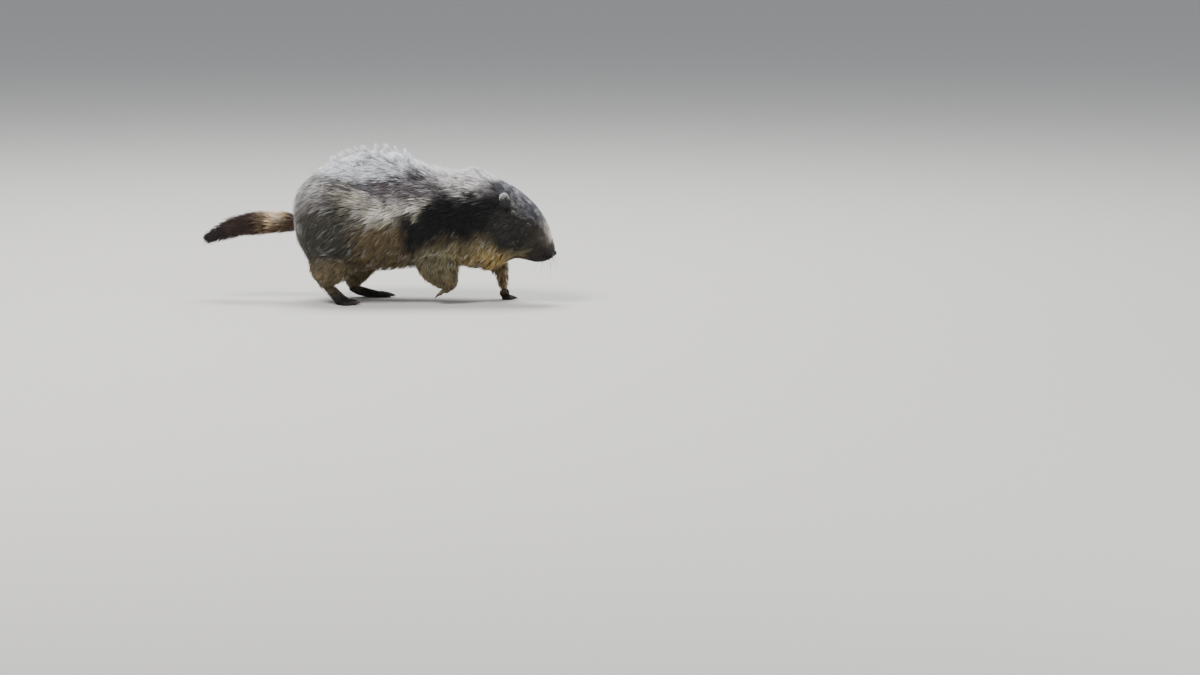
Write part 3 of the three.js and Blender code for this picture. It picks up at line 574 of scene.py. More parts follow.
def markings(g, along, rand):
    # The colour of skin and coat alike, from the place of each root on a straight, mirrored animal.
    # Each lay puts a tone, and the share of pale tips there, over those before it; a few lays paint light
    # and shade.
    site = g.attribute("site", 1)
    for scale in wander["scales"]:
        wobble = g.noise(g.vector("MULTIPLY", site, (0.6, 1, 1)), scale, output=1)
        wobble = g.vector("SUBTRACT", wobble, (0.5, 0.5, 0.5))
        site = g.vector("ADD", site, g.vector("MULTIPLY", wobble, wander["reach"]))
    streak = g.noise(g.vector("MULTIPLY", site, (0.5, 1, 1)), 0.17)
    mingled = (rand - 0.5) * g.ramp(g.parts(site)[0], 215, 190, 0.25)  # so that no edge is sharp
    site = g.vector("ADD", site, g.vector("MULTIPLY", g.grey(mingled), wander["mingled"]))
    x, y, z = g.parts(site)
    # The base tone, on the haunch and wherever nothing else is laid, is partly the coat's own olive-grey
    # and partly painted shade, darker than that grey.
    colour, frost = furTones["haunch"], 0.24

    def lay(mask, name, frostThere):
        nonlocal colour, frost
        colour = g.blend(mask, colour, furTones[name])
        frost = mask * (frostThere - frost) + frost

    lay(g.ramp(z, 98, 54) * g.ramp(x, 0, -35), "shank", 0.16)
    lay(g.ramp(x, -40, 0) * g.ramp(z, 148, 128), "buff", 0.16)
    lay(g.ramp(x, -98, -128) * g.ramp(z, 110, 150, 0.5), "rump", 0.62)
    lay(g.spot(site, (-88, 60, 190), (50, 80, 24)) * 1.2, "rump", 0.72)
    lay(g.ramp(z, 158, 172) * g.ramp(x, -30, 0), "saddle", 0.36)
    lay(g.spot(site, (46, 50, 186), (46, 80, 17)) * 0.9, "mottle", 0.3)
    # Painted light: the pale spots along the flank stand for the sunlit band over the fold of the ribs.
    lay(g.spot(site, (24, 80, 154), (33, 60, 12)) * 1.3, "paintedSunlitBand", 0.68)
    lay(g.spot(site, (74, 75, 158), (32, 60, 8)) * 1.4, "paintedSunlitBand", 0.7)
    lay(g.spot(site, (-16, 75, 172), (22, 60, 7)) * 0.8, "paintedSunlitBand", 0.55)
    # The top of the back: partly the coat's own frosting, and partly painted light, paler for the sun on
    # top.
    backEdge = g.ramp(x, -60, 60, 0, 8) + g.ramp(x, -90, -40, 12, 0) - g.ramp(x, 70, 130, 0, 14)
    lay(g.ramp(z - backEdge, 192, 210), "frostedAndSunlit", 0.92)
    # Painted highlight: a pale spot on the nape.
    lay(g.spot(site, (160, 30, 195), (40, 70, 20)) * 1.3, "paintedNapeHighlight", 0.85)
    lowEdge, highEdge = g.ramp(x, 45, 125, 92, 120), g.ramp(x, 60, 130, 149, 174)
    lay(g.ramp(x, 46, 68) * g.ramp(z - lowEdge, 8, -12), "olive", 0.2)
    # Painted shade: the near-black patch on the side of the shoulder, upper arm and neck stands for the
    # shadow on that side.
    lay(g.ramp(x, 46, 68) * g.ramp(z - highEdge, 10, -10) * g.ramp(z - lowEdge, -12, 14), "paintedShoulderShade", 0.06)
    lay(g.ramp(z, 114, 88) * g.ramp(x, 112, 160) * g.ramp(x, 250, 210), "gold", 0.28)
    lay(g.ramp(z, 74, 62) * g.ramp(x, -90, -60) * g.ramp(y, 62, 40), "belly", 0.16)
    onHead = g.ramp(x, 204, 222)
    over = z + x * 0.76 - 341  # above a line that slopes from brow to nose
    # The side of the head is partly its own dark colour and partly painted shade, darker than the top.
    lay(onHead * g.ramp(z, 86, 100), "cheek", 0.12)
    lay(g.ramp(x, 214, 232) * g.ramp(z, 84, 76), "chin", 0.1)
    # The muzzle below the line is partly its own dark colour and partly painted shade, as the shaded side
    # of the head.
    lay(g.ramp(x, 256, 270) * g.ramp(over, 4, -4), "muzzle", 0.08)
    lay(g.ramp(x, 272, 282) * g.ramp(z, 92, 84), "lipSide", 0.04)
    # The top of the head above the line: partly its own frosted grey, and partly painted light, paler than
    # the shaded side.
    lay(onHead * g.ramp(over, -3, 5), "crownAndSunlight", 0.36)
    # Painted highlight: a paler line from brow to nose, where the lit top of the head meets its shaded
    # side.
    lay(g.ramp(x, 218, 230) * g.ramp(over, -5, -1) * g.ramp(over, 6, 1) * 0.35, "line", 0.5)
    lay(g.spot(site, (290, 0, 117), (14, 12, 17)) * 1.1, "bridge", 0.65)
    lay(g.ramp(z, 66, 48) * g.ramp(x, 205, 150), "shank", 0.16)
    lay(g.ramp(z, 26, 14), "foot", 0.1)
    lay(g.ramp(x, -112, -124) * g.spot(site, (-130, 0, 130), (60, 20, 20)) * 1.4, "tailBase", 0.12)
    onTail = g.ramp(x, -133, -140)
    lay(onTail, "tailBase", 0.12)
    lay(onTail * g.spot(site, (-160, 8, 141), (20, 30, 13)) * 1.3, "tailPatch", 0.55)
    lay(onTail * g.ramp(x + z * 0.5, -118, -136), "tailMiddle", 0.06)
    lay(onTail * g.ramp(x, -225, -255), "tailTip", 0.03)
    return furred(g, colour, frost, along, rand, streak)


def coatMaterial():
    g = Graph("coatFur")
    return g.surface(Base_Color=markings(g, g.attribute("along"), g.attribute("rand")),
                     Roughness=0.62, Specular_IOR_Level=0.2, Sheen_Weight=0.04, Sheen_Roughness=0.5)


def earMaterial():
    # Short grey fur, paler towards the rim, which lies high on each side, and darker low in the cup, partly
    # as painted shade of its hollow.
    g = Graph("earFur")
    site = g.attribute("site", 1)
    z = g.parts(site)[2]
    streak = g.noise(site, 0.4, 2.0)
    colour = g.blend(g.ramp(z, 168, 177), tone("3b3a3a"), tone("bdbab8"))
    frost = g.ramp(z, 166, 180, 0.05, 0.8)
    colour = furred(g, colour, frost, g.attribute("along"), g.attribute("rand"), streak)
    return g.surface(Base_Color=colour, Roughness=0.6, Specular_IOR_Level=0.3)


# What lies under the tufts: size of the grain, how far up the tufts its colour is taken from, what the
# grain does to it, the tone of bare skin, and the bump's strength and depth in metres
underLook = {
    "skinUnderCoat": {"grain": 900.0, "along": 0.35, "light": (0.6, 0.55), "bare": "151010",
                      "roughness": 0.75, "bump": (0.5, 0.0006)},
    "footSkin": {"grain": 1400.0, "along": 0.3, "light": (0.5, 0.5), "bare": "241e1e",
                 "roughness": 0.6, "bump": (0.6, 0.0005)},
}


def underMaterial(name):
    # The coat's markings, with their painted light and shade, and bare skin where the attribute says.
    look = underLook[name]
    g = Graph(name)
    grain = g.noise(g.place(), look["grain"])
    strength, base = look["light"]
    fur = g.scaled(markings(g, look["along"], 0.5), grain * strength + base)
    return g.surface(Base_Color=g.blend(g.attribute("bare"), fur, tone(look["bare"])),
                     Roughness=look["roughness"], Normal=g.bump(grain, *look["bump"]))


# The skin: trunk, tail and legs as one closed surface, finer round eyes and mouth

def trunkLie(s):
    # Back along the trunk, down over the sides and the rump, and steeper over the upper arm.
    x, y, z = s[..., 0], np.abs(s[..., 1]), s[..., 2]
    fall = 0.08 + 0.75 * ease(205, 90, z) + 1.3 * ease(-75, -125, x)
    fall = fall + 0.55 * np.exp(-(((x - 110) / 45) ** 2) - ((z - 95) / 40) ** 2)
    fall = fall * (1 - 0.8 * ease(74, 62, z) * ease(60, 30, y))
    fall = fall * (1 - ease(205, 235, x)) + (0.05 + 0.4 * ease(150, 100, z)) * ease(205, 235, x)
    fall = fall - 2.0 * ease(255, 282, x) * np.exp(-((y / 13) ** 2)) * ease(80, 90, z)
    return turnedWay(np.stack([-np.ones_like(fall), 0 * fall, -fall], -1), x)


def limbLie(sweep, u, bias):
    # Along the limb, with a bias added.
    middle = lambda v: sweep.section(v)[..., 0, :]
    return unit(middle(u + 0.05) - middle(u - 0.05)) + bias


tailEnd = 6.5  # the station where the skin of the tail ends, under the brush of its tip
# The brush: where it begins, its way, its extra length in millimetres, how much denser it is, and how
# it spreads
tailBrush = {
    "from": 5.8, "way": unit(vec(-15, 1, -8)), "longer": 9, "denser": 3, "splay": 0.38, "unruly": 0.08,
}


def sourceCloud():
    # Points on every swept form, with what the coat needs to know there.
    parts, cloud = [], []
    forms = [("trunk", trunk, 150, 110), ("tail", tail, 60, 40)]
    forms += [("leg", bone, 50, 56) for bone in legs.values()]
    for number, (kind, sweep, rows, around) in enumerate(forms):
        u, turn, p = sweep.grid(tailEnd if kind == "tail" else sweep.last, rows, around)
        p = p - sweep.place(u, turn)[1] * depthOf(kind, u)[..., None]
        parts.append(closedTube(p))
        if kind == "trunk":
            lie = trunkLie(turned(p, back=True))
        else:
            bias = vec(0, 0, -0.1) if kind == "tail" else vec(-0.35, 0, 0)
            lie = limbLie(sweep, u, bias)
        known = {"point": p, "lie": unit(lie), "depth": depthOf(kind, u), "u": u, "turn": turn,
                 "form": np.full(u.shape, number)}
        cloud.append({key: unrolled(values) for key, values in known.items()})
    return parts, joined(cloud)


def stationAt(straight):
    # The station of points in a straight trunk: each is a slanting line from its top to its bottom.
    x, z = straight[:, 0], straight[:, 2]
    number = np.arange(len(trunkStations))
    low, high = np.zeros(len(x)), np.full(len(x), number[-1], float)
    for _ in range(14):
        middle = (low + high) / 2
        topX, topZ, bottomX, bottomZ = (np.interp(middle, number, trunkStations[:, k]) for k in range(4))
        line = bottomX + (topX - bottomX) * np.clip((z - bottomZ) / (topZ - bottomZ), 0, 1)
        low, high = np.where(x > line, middle, low), np.where(x > line, high, middle)
    return middle


# Stations and turns of one half of the mouth, from its corner to under the nose
mouthPath = np.array([
    (16.9, -0.6), (17.6, -0.68), (18.4, -0.73), (19.2, -0.8), (20, -1.02), (20.4, -math.pi / 2),
])
# Voxels and smoothing steps, where the head's own lie and depth begin, the lips and the groove between
# them, how far they are bare, and the share of the coat's depth that is left there
skinLook = {
    "voxel": 2.5, "smooth": 8, "joints": 12, "jointSmooth": 45, "lieSmooth": 14, "depthSmooth": 10,
    "headFrom": (196, 214), "lipHigh": 1.0, "lipWide": 1.3, "lipOff": 2.2, "groove": 2.2, "grooveWide": 0.9,
    "bareLips": 2.0, "lipCoat": 0.35,
}
# Ears: place on the trunk, half sizes, how far the cup is raised and hollowed, how much thinner the
# coat is round its root, and the depth of its own coat
earLook = {
    "u": 14, "turn": 0.67, "thick": 5, "high": 12.5, "wide": 10, "raised": 4.5, "hollow": 4.2,
    "root": 4, "thinner": 0.45, "near": (24, 12), "grid": (70, 80), "coat": 2.3,
}


def mouthLine():
    # The mouth, from one corner under the nose to the other.
    t = np.linspace(0, len(mouthPath) - 1, 70)
    u, turn = (np.interp(t, np.arange(len(mouthPath)), column) for column in mouthPath.T)
    places = [trunk.place(u, way(turn)) for way in sides.values()]
    sideLines = [at - out * depthOf("trunk", u)[:, None] for at, out, _ in places]
    return np.vstack([sideLines[0], sideLines[1][::-1]])


def distanceTo(line, points, reach):
    # Distance from each point to the nearest of a line, within reach of its box.
    away = np.full(len(points), 1e3)
    close = np.flatnonzero((points > line.min(0) - reach).all(1) & (points < line.max(0) + reach).all(1))
    away[close] = np.sqrt(((points[close, None] - line[None]) ** 2).sum(-1)).min(1)
    return away


def eyeMeasure(points, side):
    # Distance from the eye's middle, direction from it, and place on the almond, which is 1 at the lids.
    middle, out, upward, across = eyeFrame(side)
    q = points - middle
    r = length(q)[:, 0]
    way = q / np.maximum(r, 1e-6)[:, None]
    s, v, o = way @ across, way @ upward, way @ out
    almond = np.hypot(s * eyeLook["radius"] / eyeLook["wide"], v * eyeLook["radius"] / eyeLook["high"])
    return r, way, np.where(o > 0, almond, 9.0)


def refined(points, faces, line):
    # Smaller triangles on the muzzle, round the eyes and along the mouth, each level within the last.
    eyeMiddles = [eyeFrame(side)[0] for side in sides]
    muzzle = turned(trunk.section(np.array(18.5))[0])
    for roundMuzzle, roundEye, roundMouth in ((58, 15, 15), (20, 11, 7), (0, 8.5, 3.5)):
        def near(p):
            away = np.min([length(p - middle)[:, 0] for middle in eyeMiddles], axis=0)
            onMuzzle = length(p - muzzle)[:, 0] < roundMuzzle
            return (away < roundEye) | onMuzzle | (distanceTo(line, p, roundMouth) < roundMouth)
        points, faces = finer(points, faces, near)
        points = relaxed(points, edgesOf(faces), 3, keepSize, near(points).astype(float))
    return points, faces


def furHost(points, faces, normals, lie, **more):
    # A surface that tufts stand on, with the lie of its coat laid along it.
    return {"points": points, "faces": faces, "normals": normals, "lie": flattened(lie, normals), **more}


def makeSkin():
    # One surface round all the sweeps, softened where they meet. Lips rise by a bell curve of the distance
    # from the mouth, the mouth sinks by another, and round an eye the points stand on the ball or its lids.
    parts, cloud = sourceCloud()
    points, faces = remeshed("skin", *together(parts), skinLook["voxel"])
    edges = edgesOf(faces)
    points = relaxed(points, edges, skinLook["smooth"], keepSize)
    finder = Nearby(cloud["point"])
    form = cloud["form"][np.maximum(finder(points), 0)]
    joints = np.zeros(len(points))
    joints[edges[form[edges[:, 0]] != form[edges[:, 1]]].ravel()] = 1
    joints = np.clip(4 * relaxed(joints, edges, skinLook["joints"])[:, 0], 0, 1)
    points = relaxed(points, edges, skinLook["jointSmooth"], hold=joints)
    line = mouthLine()
    points, faces = refined(points, faces, line)
    nearest = np.maximum(finder(points), 0)
    edges = edgesOf(faces)
    normals = normalsOf(points, faces)

    straight = turned(points, back=True)
    onHead = ease(*skinLook["headFrom"], straight[:, 0])
    lie = relaxed(cloud["lie"][nearest], edges, skinLook["lieSmooth"])
    lie = lie + (trunkLie(straight) - lie) * onHead[:, None]
    depth = relaxed(cloud["depth"][nearest], edges, skinLook["depthSmooth"])[:, 0]
    depth = depth + (depthOf("trunk", stationAt(straight)) - depth) * onHead

    lips = distanceTo(line, points, 9)
    lift = skinLook["lipHigh"] * np.exp(-(((lips - skinLook["lipOff"]) / skinLook["lipWide"]) ** 2))
    lift -= skinLook["groove"] * np.exp(-((lips / skinLook["grooveWide"]) ** 2))
    points = points + normals * lift[:, None]
    bare = np.exp(-((lips / skinLook["bareLips"]) ** 4))
    full = depth
    depth = depth * (skinLook["lipCoat"] + (1 - skinLook["lipCoat"]) * ease(1.5, 7, lips))
    for side in sides:
        r, _, almond = eyeMeasure(points, side)
        depth = depth * (1 - eyeLook["thinner"] * ease(2.6, 1.1, almond) * ease(*eyeLook["near"], r))
    points = points + normals * (full - depth)[:, None]
    closed = np.ones(len(points))
    for side in sides:
        middle = eyeFrame(side)[0]
        r, way, almond = eyeMeasure(points, side)
        shell = eyeLook["radius"] + eyeLook["lid"] * (1 - 0.6 * ease(1.15, 2.1, almond))
        target = np.where(almond < 0.97, eyeLook["radius"] - 1.3, shell)
        points = np.where(((almond < 5) & (r < shell))[:, None], middle + way * target[:, None], points)
        close = ease(*eyeLook["near"], r) * (almond < 5)
        bare = np.maximum(bare, ease(1.28, 1.1, almond) * close)
        closed = np.minimum(closed, np.where(close > 0, ease(1.05, 1.15, almond), 1))
        lie = lie + 1.1 * way * (ease(2.4, 1.2, almond) * close)[:, None]
        ear = onTrunk(earLook, side)
        away = length(points - ear[0] + ear[1] * earLook["root"])[:, 0]
        depth = depth * (1 - earLook["thinner"] * ease(*earLook["near"], away))
    normals = normalsOf(points, faces)
    return furHost(points, faces, normals, lie, depth=depth, bare=bare, open=closed * (lips > 1.8),
                   **{key: cloud[key][nearest] for key in ("form", "u", "turn")})


def sited(points):
    # The place on a straight animal whose left side stands for both.
    straight = turned(points, back=True)
    straight[:, 1] = np.abs(straight[:, 1])
    return straight


skin = makeSkin()
atTip = (skin["form"] == 1) & (skin["u"] > tailBrush["from"])
skin["depth"] += tailBrush["longer"] * atTip
skin["free"] = atTip
skinPiece = piece("skin", skin["points"], skin["faces"], underMaterial("skinUnderCoat"), "body_coat",
                  {"site": sited(skin["points"]), "bare": skin["bare"]})
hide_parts("torso", "neck", "head", "tail", *legs)
print("skin made:", len(skin["faces"]), "faces, depth", skin["depth"].min(), skin["depth"].max())


# The coat: thousands of thin closed tufts, each rooted in a skin

def hashed(cells, seed):
    # A number from 0 to 1 for each cell of a grid, the same every time.
    return np.modf(np.abs(np.sin(cells @ vec(12.9898, 78.233, 37.719) + seed) * 43758.5453))[0]


def clumps(p, size):
    # The nearest of one random point in each cell of a grid, and a random number that goes with it.
    cell = np.floor(p / size)
    best, centre, number = np.full(len(p), np.inf), p.copy(), np.zeros(len(p))
    for offset in np.ndindex(3, 3, 3):
        near = cell + np.array(offset) - 1
        spot = (near + np.stack([hashed(near, seed) for seed in (0, 1, 2)], -1)) * size
        away = np.sum((spot - p) ** 2, axis=1)
        closer = away < best
        best = np.where(closer, away, best)
        centre = np.where(closer[:, None], spot, centre)
        number = np.where(closer, hashed(near, 3), number)
    return centre, number


def swirl(p):
    # Slow waves in the lie of the coat, stronger on the middle of the flank.
    x, y, z = p.T
    wave = 0.16 * np.sin(x / 23 + 1.4 * np.sin(z / 29)) + 0.13 * np.sin(z / 15 + y / 27 + 2.1)
    wave += 0.1 * np.sin(x / 9 + z / 11 + y / 7)
    tousled = np.exp(-(((x - 5) / 75) ** 2) - ((z - 165) / 45) ** 2)
    return wave * (0.9 + 1.3 * tousled) * ease(285, 240, x)


def standing(p, normal, number):
    # Which clumps stand up: some on top of the rump, and some that hang under the chest and belly.
    back = ease(205, 222, p[:, 2]) * ease(-95, -60, p[:, 0]) * ease(85, 45, p[:, 0]) * (number > 0.84)
    hang = ease(-0.1, -0.6, normal[:, 2]) * ease(40, 60, p[:, 2]) * ease(235, 205, p[:, 0]) * (number < 0.4)
    hang = hang * ease(-130, -110, p[:, 0])
    return 1.8 * back + 0.9 * hang


def spun(way, normal, angle):
    # A direction turned in the surface by an angle.
    return way * np.cos(angle)[:, None] + np.cross(normal, way) * np.sin(angle)[:, None]


# Tufts: length for each millimetre of height, layers and width by depth of the coat, how they sway, clump
# and gather, shares of the depth that they are high, share that stands out and by how much, how deep the
# roots are sunk, how they curve, the depth below which one ring does, the steps along them, their lowest
# height above the floor, and the side of each one's patch of the UV map
coatLook = {
    "spread": 1.75, "layers": (1.9, 0.3), "width": (0.36, 0.052), "sway": 0.13, "clump": 8.0,
    "gather": 0.62, "heights": (0.68, 1.06), "wild": 0.05, "wildTall": 1.25, "sunk": 0.5, "curve": 1.7,
    "fineBelow": 5.2, "steps": (0.36, 0.7, 1.0), "lowest": 0.03, "patch": 0.003,
}


def scattered(host, density, keep):
    # Points spread evenly over the faces, so many to the square millimetre.
    corner = host["points"][host["faces"]]
    area = 0.5 * length(np.cross(corner[:, 1] - corner[:, 0], corner[:, 2] - corner[:, 0]))[:, 0]
    number = np.floor(area * density * keep + draw.random(len(area))).astype(int) * (keep > 0)
    face = np.repeat(np.arange(len(area)), number)
    a, b = draw.random((2, len(face)))
    flip = a + b > 1
    a, b = np.where(flip, 1 - a, a), np.where(flip, 1 - b, b)
    weights = np.stack([1 - a - b, a, b], -1)
    corners = host["faces"][face]
    mixed = lambda key: np.einsum("nk,nk...->n...", weights, host[key][corners])
    first = corners[:, 0]
    return mixed("points"), unit(mixed("normals")), mixed("lie"), mixed("depth"), first


def layersTo(depth, look):
    # How many tufts to the square millimetre lay so many layers over the skin.
    width = look["width"][0] + look["width"][1] * depth
    return (look["layers"][0] + look["layers"][1] * depth) / (0.6 * width * look["spread"] * depth)


def tufts(host, look, keep, unwrap):
    # Root, one or two rings of three points, and tip, walked along the skin and raised above it. Those of
    # the tail's brush are free of the skin and run straight.
    faceDepth = host["depth"][host["faces"]].mean(1)
    root, normal, lie, depth, first = scattered(host, layersTo(faceDepth, look), keep)
    n = len(root)
    centre, number = clumps(root, look["clump"])
    rand = 0.45 * draw.random(n) + 0.55 * number
    way = spun(flattened(lie, normal), normal, swirl(root) + look["sway"] * draw.normal(size=n))
    low, high = look["heights"]
    stands = standing(root, normal, number)
    wild = np.where(draw.random(n) < look["wild"], look["wildTall"], 1)
    tall = depth * (low + (high - low) * draw.random(n)) * np.maximum(wild, 1 + 0.45 * stands)
    run = tall * look["spread"] * (0.85 + 0.3 * draw.random(n)) * (1 - 0.45 * stands)
    gather = (centre - root) - normal * dot(centre - root, normal)
    gather = gather * (look["gather"] * ease(1, 8, depth) * (1 + 0.5 * stands))[:, None]
    width = (look["width"][0] + look["width"][1] * depth) * (0.75 + 0.5 * draw.random(n))
    free = host["free"][first][:, None] if "free" in host else np.zeros((n, 1), bool)
    unruly = tailBrush["unruly"] * draw.normal(size=(n, 3))
    way = np.where(free, unit(tailBrush["way"] + tailBrush["splay"] * normal + unruly), way)
    run = np.where(free[:, 0], tall, run)
    gather = gather * ~free
    spots, at, out, gone = [], root, normal, 0.0
    for t in look["steps"]:
        at = at + way * (run * (t - gone))[:, None]
        k = host["near"](at)
        k = np.where(k < 0, first, k)
        out = unit(out + host["normals"][k])
        at = np.where(free, at, at - out * dot(at - host["points"][k], out))
        way = np.where(free, way, flattened(way + 0.35 * host["lie"][k], out))
        rise = tall * (1 - (1 - t) ** look["curve"]) * ~free[:, 0]
        spots.append((t, at + out * rise[:, None] + gather * (t * t), out, way))
        gone = t
    start = root - normal * look["sunk"]

    def ring(spot, size):
        # Three points of a flat ridged section, as wide as size says.
        _, at, out, way = spot
        across = np.cross(out, way) * (0.5 * width * size)[:, None]
        ridge = out * (0.45 * width * size)[:, None]
        return [at + across, at + ridge, at - across]

    shapes = []
    isFine = depth < look["fineBelow"]
    for chosen, ringsAt in ((isFine, ((1, 0.8),)), (~isFine, ((0, 1.0), (1, 0.72)))):
        rows = [start] + [p for index, size in ringsAt for p in ring(spots[index], size)] + [spots[2][1]]
        along = [0.0] + [spots[index][0] for index, _ in ringsAt for _ in range(3)] + [1.0]
        bottom = [0, 0.5, 1]
        sideways = [0.5] + bottom * len(ringsAt) + [0.5]
        points = np.stack(rows, 1)[chosen]
        points[..., 2] = np.maximum(points[..., 2], look["lowest"])
        spread = look["patch"] * (np.stack([along, sideways], -1) - 0.5)
        uv = np.clip(unwrap(first[chosen])[:, None] + spread[None], 0.0005, 0.9995)
        shapes.append({
            "points": points, "along": np.tile(along, (len(points), 1)), "uv": uv, "root": root[chosen],
            "rand": np.repeat(rand[chosen, None], points.shape[1], 1), "faces": spindleFaces(len(ringsAt)),
        })
    return shapes


def spindleFaces(rings):
    # Triangles from a root over rings of three points to a tip.
    faces, last = [], 1 + 3 * rings
    for j in range(3):
        k = (j + 1) % 3
        faces.append((0, 1 + k, 1 + j))
        for i in range(rings - 1):
            a, b = 1 + 3 * i, 4 + 3 * i
            faces += [(a + j, a + k, b + k), (a + j, b + k, b + j)]
        faces.append((last, last - 3 + j, last - 3 + k))
    return np.array(faces)


mostFaces = 190000  # triangles in one piece of the coat
coatCount = {"pieces": 0, "faces": 0}


def coatPieces(name, shapes, material, slot, order):
    # Tufts sorted along the body and joined into as few pieces as the limit allows.
    total = sum(len(s["points"]) * len(s["faces"]) for s in shapes)
    number = max(1, math.ceil(total / mostFaces))
    keys = np.concatenate([s["root"][:, order] for s in shapes])
    limits = np.quantile(keys, np.linspace(0, 1, number + 1))
    limits[-1] += 1
    for k in range(number):
        rows, offset = [], 0
        for shape in shapes:
            own = (shape["root"][:, order] >= limits[k]) & (shape["root"][:, order] < limits[k + 1])
            count, corners = np.count_nonzero(own), shape["points"].shape[1]
            if not count:
                continue
            firsts = offset + np.arange(count) * corners
            offset += count * corners
            rows.append({key: unrolled(shape[key][own]) for key in ("points", "along", "rand", "uv")})
            rows[-1]["site"] = np.repeat(sited(shape["root"][own]), corners, 0)
            rows[-1]["faces"] = unrolled(shape["faces"][None] + firsts[:, None, None])
        tuft = joined(rows)
        label = f"{name}{k + 1}" if number > 1 else name
        attributes = {key: tuft[key] for key in ("site", "along", "rand")}
        thing = piece(label, tuft["points"], tuft["faces"], material, slot, attributes)
        layer = thing.data.uv_layers.new(name="OFBake")
        layer.data.foreach_set("uv", tuft["uv"][tuft["faces"].ravel()].astype(np.float32).ravel())
        coatCount["pieces"] += 1
        coatCount["faces"] += len(tuft["faces"])


def unwrapOf(host, spanU, lanes=1):
    # A cylinder unrolled: station along one side, turn along the other, in lanes where limbs share it.
    def at(index):
        u = (host["u"][index] - spanU[0]) / (spanU[1] - spanU[0])
        turn = (host["turn"][index] / (2 * np.pi)) % 1
        return np.stack([np.clip(u, 0, 1), (host["lane"][index] + turn) / lanes], -1)
    return at


coatFinish = coatMaterial()
tailCoat = dict(coatLook, layers=(3.0, 0.6))
finerCells = {"from": 185, "cell": 1.2, "reach": 10}  # for the short coat of the head
skin["near"] = Nearby(skin["points"])
onHead = np.flatnonzero(turned(skin["points"], back=True)[:, 0] > finerCells["from"])
head = dict(skin, near=Nearby(skin["points"], finerCells["cell"], finerCells["reach"], onHead))
skin["lane"] = head["lane"] = np.maximum(skin["form"] - 2, 0)
faceForm = skin["form"][skin["faces"][:, 0]]
faceU = skin["u"][skin["faces"][:, 0]]
faceOpen = skin["open"][skin["faces"]].mean(1)
# Nose: its station, the spot round its tip that stays clear of tufts, half sizes, and the depth of its
# groove and nostrils and the height of their wings
noseLook = {
    "station": 20.9, "clear": 6.5, "back": 3.5, "deep": 6.5, "high": 5.5, "wide": 7.2, "grid": (90, 120),
    "groove": 0.7, "pit": 2.4, "wing": 0.7, "nostrilAside": 3.3,
}
noseTip = trunk.point(noseLook["station"], np.pi / 2)
faceOpen *= length(skin["points"][skin["faces"][:, 0]] - noseTip)[:, 0] > noseLook["clear"]
headFrom = 13.4  # the station of the trunk where the coat of the head begins
# Each region's faces, stations, lanes of the UV map, the axis along which it is split, and its slot
regions = [
    ("coatTrunk", (faceForm == 0) & (faceU < headFrom), (0, headFrom), 1, 0, "body_coat"),
    ("coatHead", (faceForm == 0) & (faceU >= headFrom), (headFrom, trunk.last), 1, 0, "face_coat"),
    ("coatTail", faceForm == 1, (0, tail.last), 1, 0, "tail_coat"),
    ("coatLegs", faceForm > 1, (0, 5), 4, 2, "body_coat"),
]
for name, where, spanU, lanes, order, slot in regions:
    look = tailCoat if name == "coatTail" else coatLook
    keep = faceOpen * where * (1 + tailBrush["denser"] * atTip[skin["faces"][:, 0]])
    shapes = tufts(head if name == "coatHead" else skin, look, keep, unwrapOf(skin, spanU, lanes))
    coatPieces(name, shapes, coatFinish, slot, order)
    print(name, "done:", coatCount)


# Feet: soles and toes as one surface each, with a short coat above and claws in front

# Stations of the sole: share of its length, half width and half thickness, as shares of the foot's
soleStations = [
    (-0.08, 0.24, 0.26), (0.06, 0.36, 0.5), (0.5, 0.42, 0.5), (0.92, 0.5, 0.44), (1.12, 0.44, 0.26),
]
# Stations of a toe: share of its length, height and size, in radii of the toe
toeStations = [(-0.3, 0, 0.7), (0.25, 0.3, 1), (0.65, 0.15, 0.95), (0.95, 0, 0.85), (1.1, 0, 0.4)]
# Feet: voxels and smoothing, depth of the coat over sole, toes and heel, how far the sole is pressed
# flat, and how the toes spread
footLook = {
    "voxel": 0.8, "smooth": 4, "grid": (26, 30), "soleDepth": [4.5, 4.2, 2.8, 1.7, 1.4], "toeDepth": 1.3,
    "heelDepth": 4.4, "tipThinner": 0.6, "pressed": 1.9, "splay": 0.2,
}
clawLook = {"radius": 2.1, "rows": 12, "around": 12, "drop": 1.1, "flat": 0.72, "tip": 0.12, "lowest": 0.05}


def flatOval(middle, side, upright):
    # A station of a Sweep that is as high above its middle as below.
    return np.stack([middle, side, upright, -upright])


def footParts(sizes):
    # The sole and toes as tubes, and the root and ways of each claw.
    heel, knuckles = vec(*sizes["heel"]), vec(*sizes["knuckles"])
    forward, side = unit(vec(*sizes["toward"])), unit(vec(*sizes["across"]))
    lift = np.cross(forward, side)
    over = unit(np.cross(unit(knuckles - heel), side))
    width, thickness, radius = sizes["width"], sizes["thickness"], sizes["toeRadius"]
    rows = [flatOval(heel + (knuckles - heel) * t, side * wide * width, over * high * thickness)
            for t, wide, high in soleStations]
    tubes, claws = [Sweep(rows, squareness=2.4)], []
    for j in range(sizes["toes"]):
        place = 2 * j / (sizes["toes"] - 1) - 1
        splay = footLook["splay"] * place
        reach = sizes["toeLength"] * (1 - splay * place)
        way = forward * math.cos(splay) + side * math.sin(splay)
        root = knuckles + side * place * (width * 0.5 - radius)
        along = lambda t, high: root + way * reach * t + lift * radius * high
        toeRows = [flatOval(along(t, high), side * radius * size, lift * radius * size)
                   for t, high, size in toeStations]
        tubes.append(Sweep(toeRows))
        claws.append((along(0.9, 0.25), way, side, lift, sizes["clawLength"]))
    return tubes, claws, lift


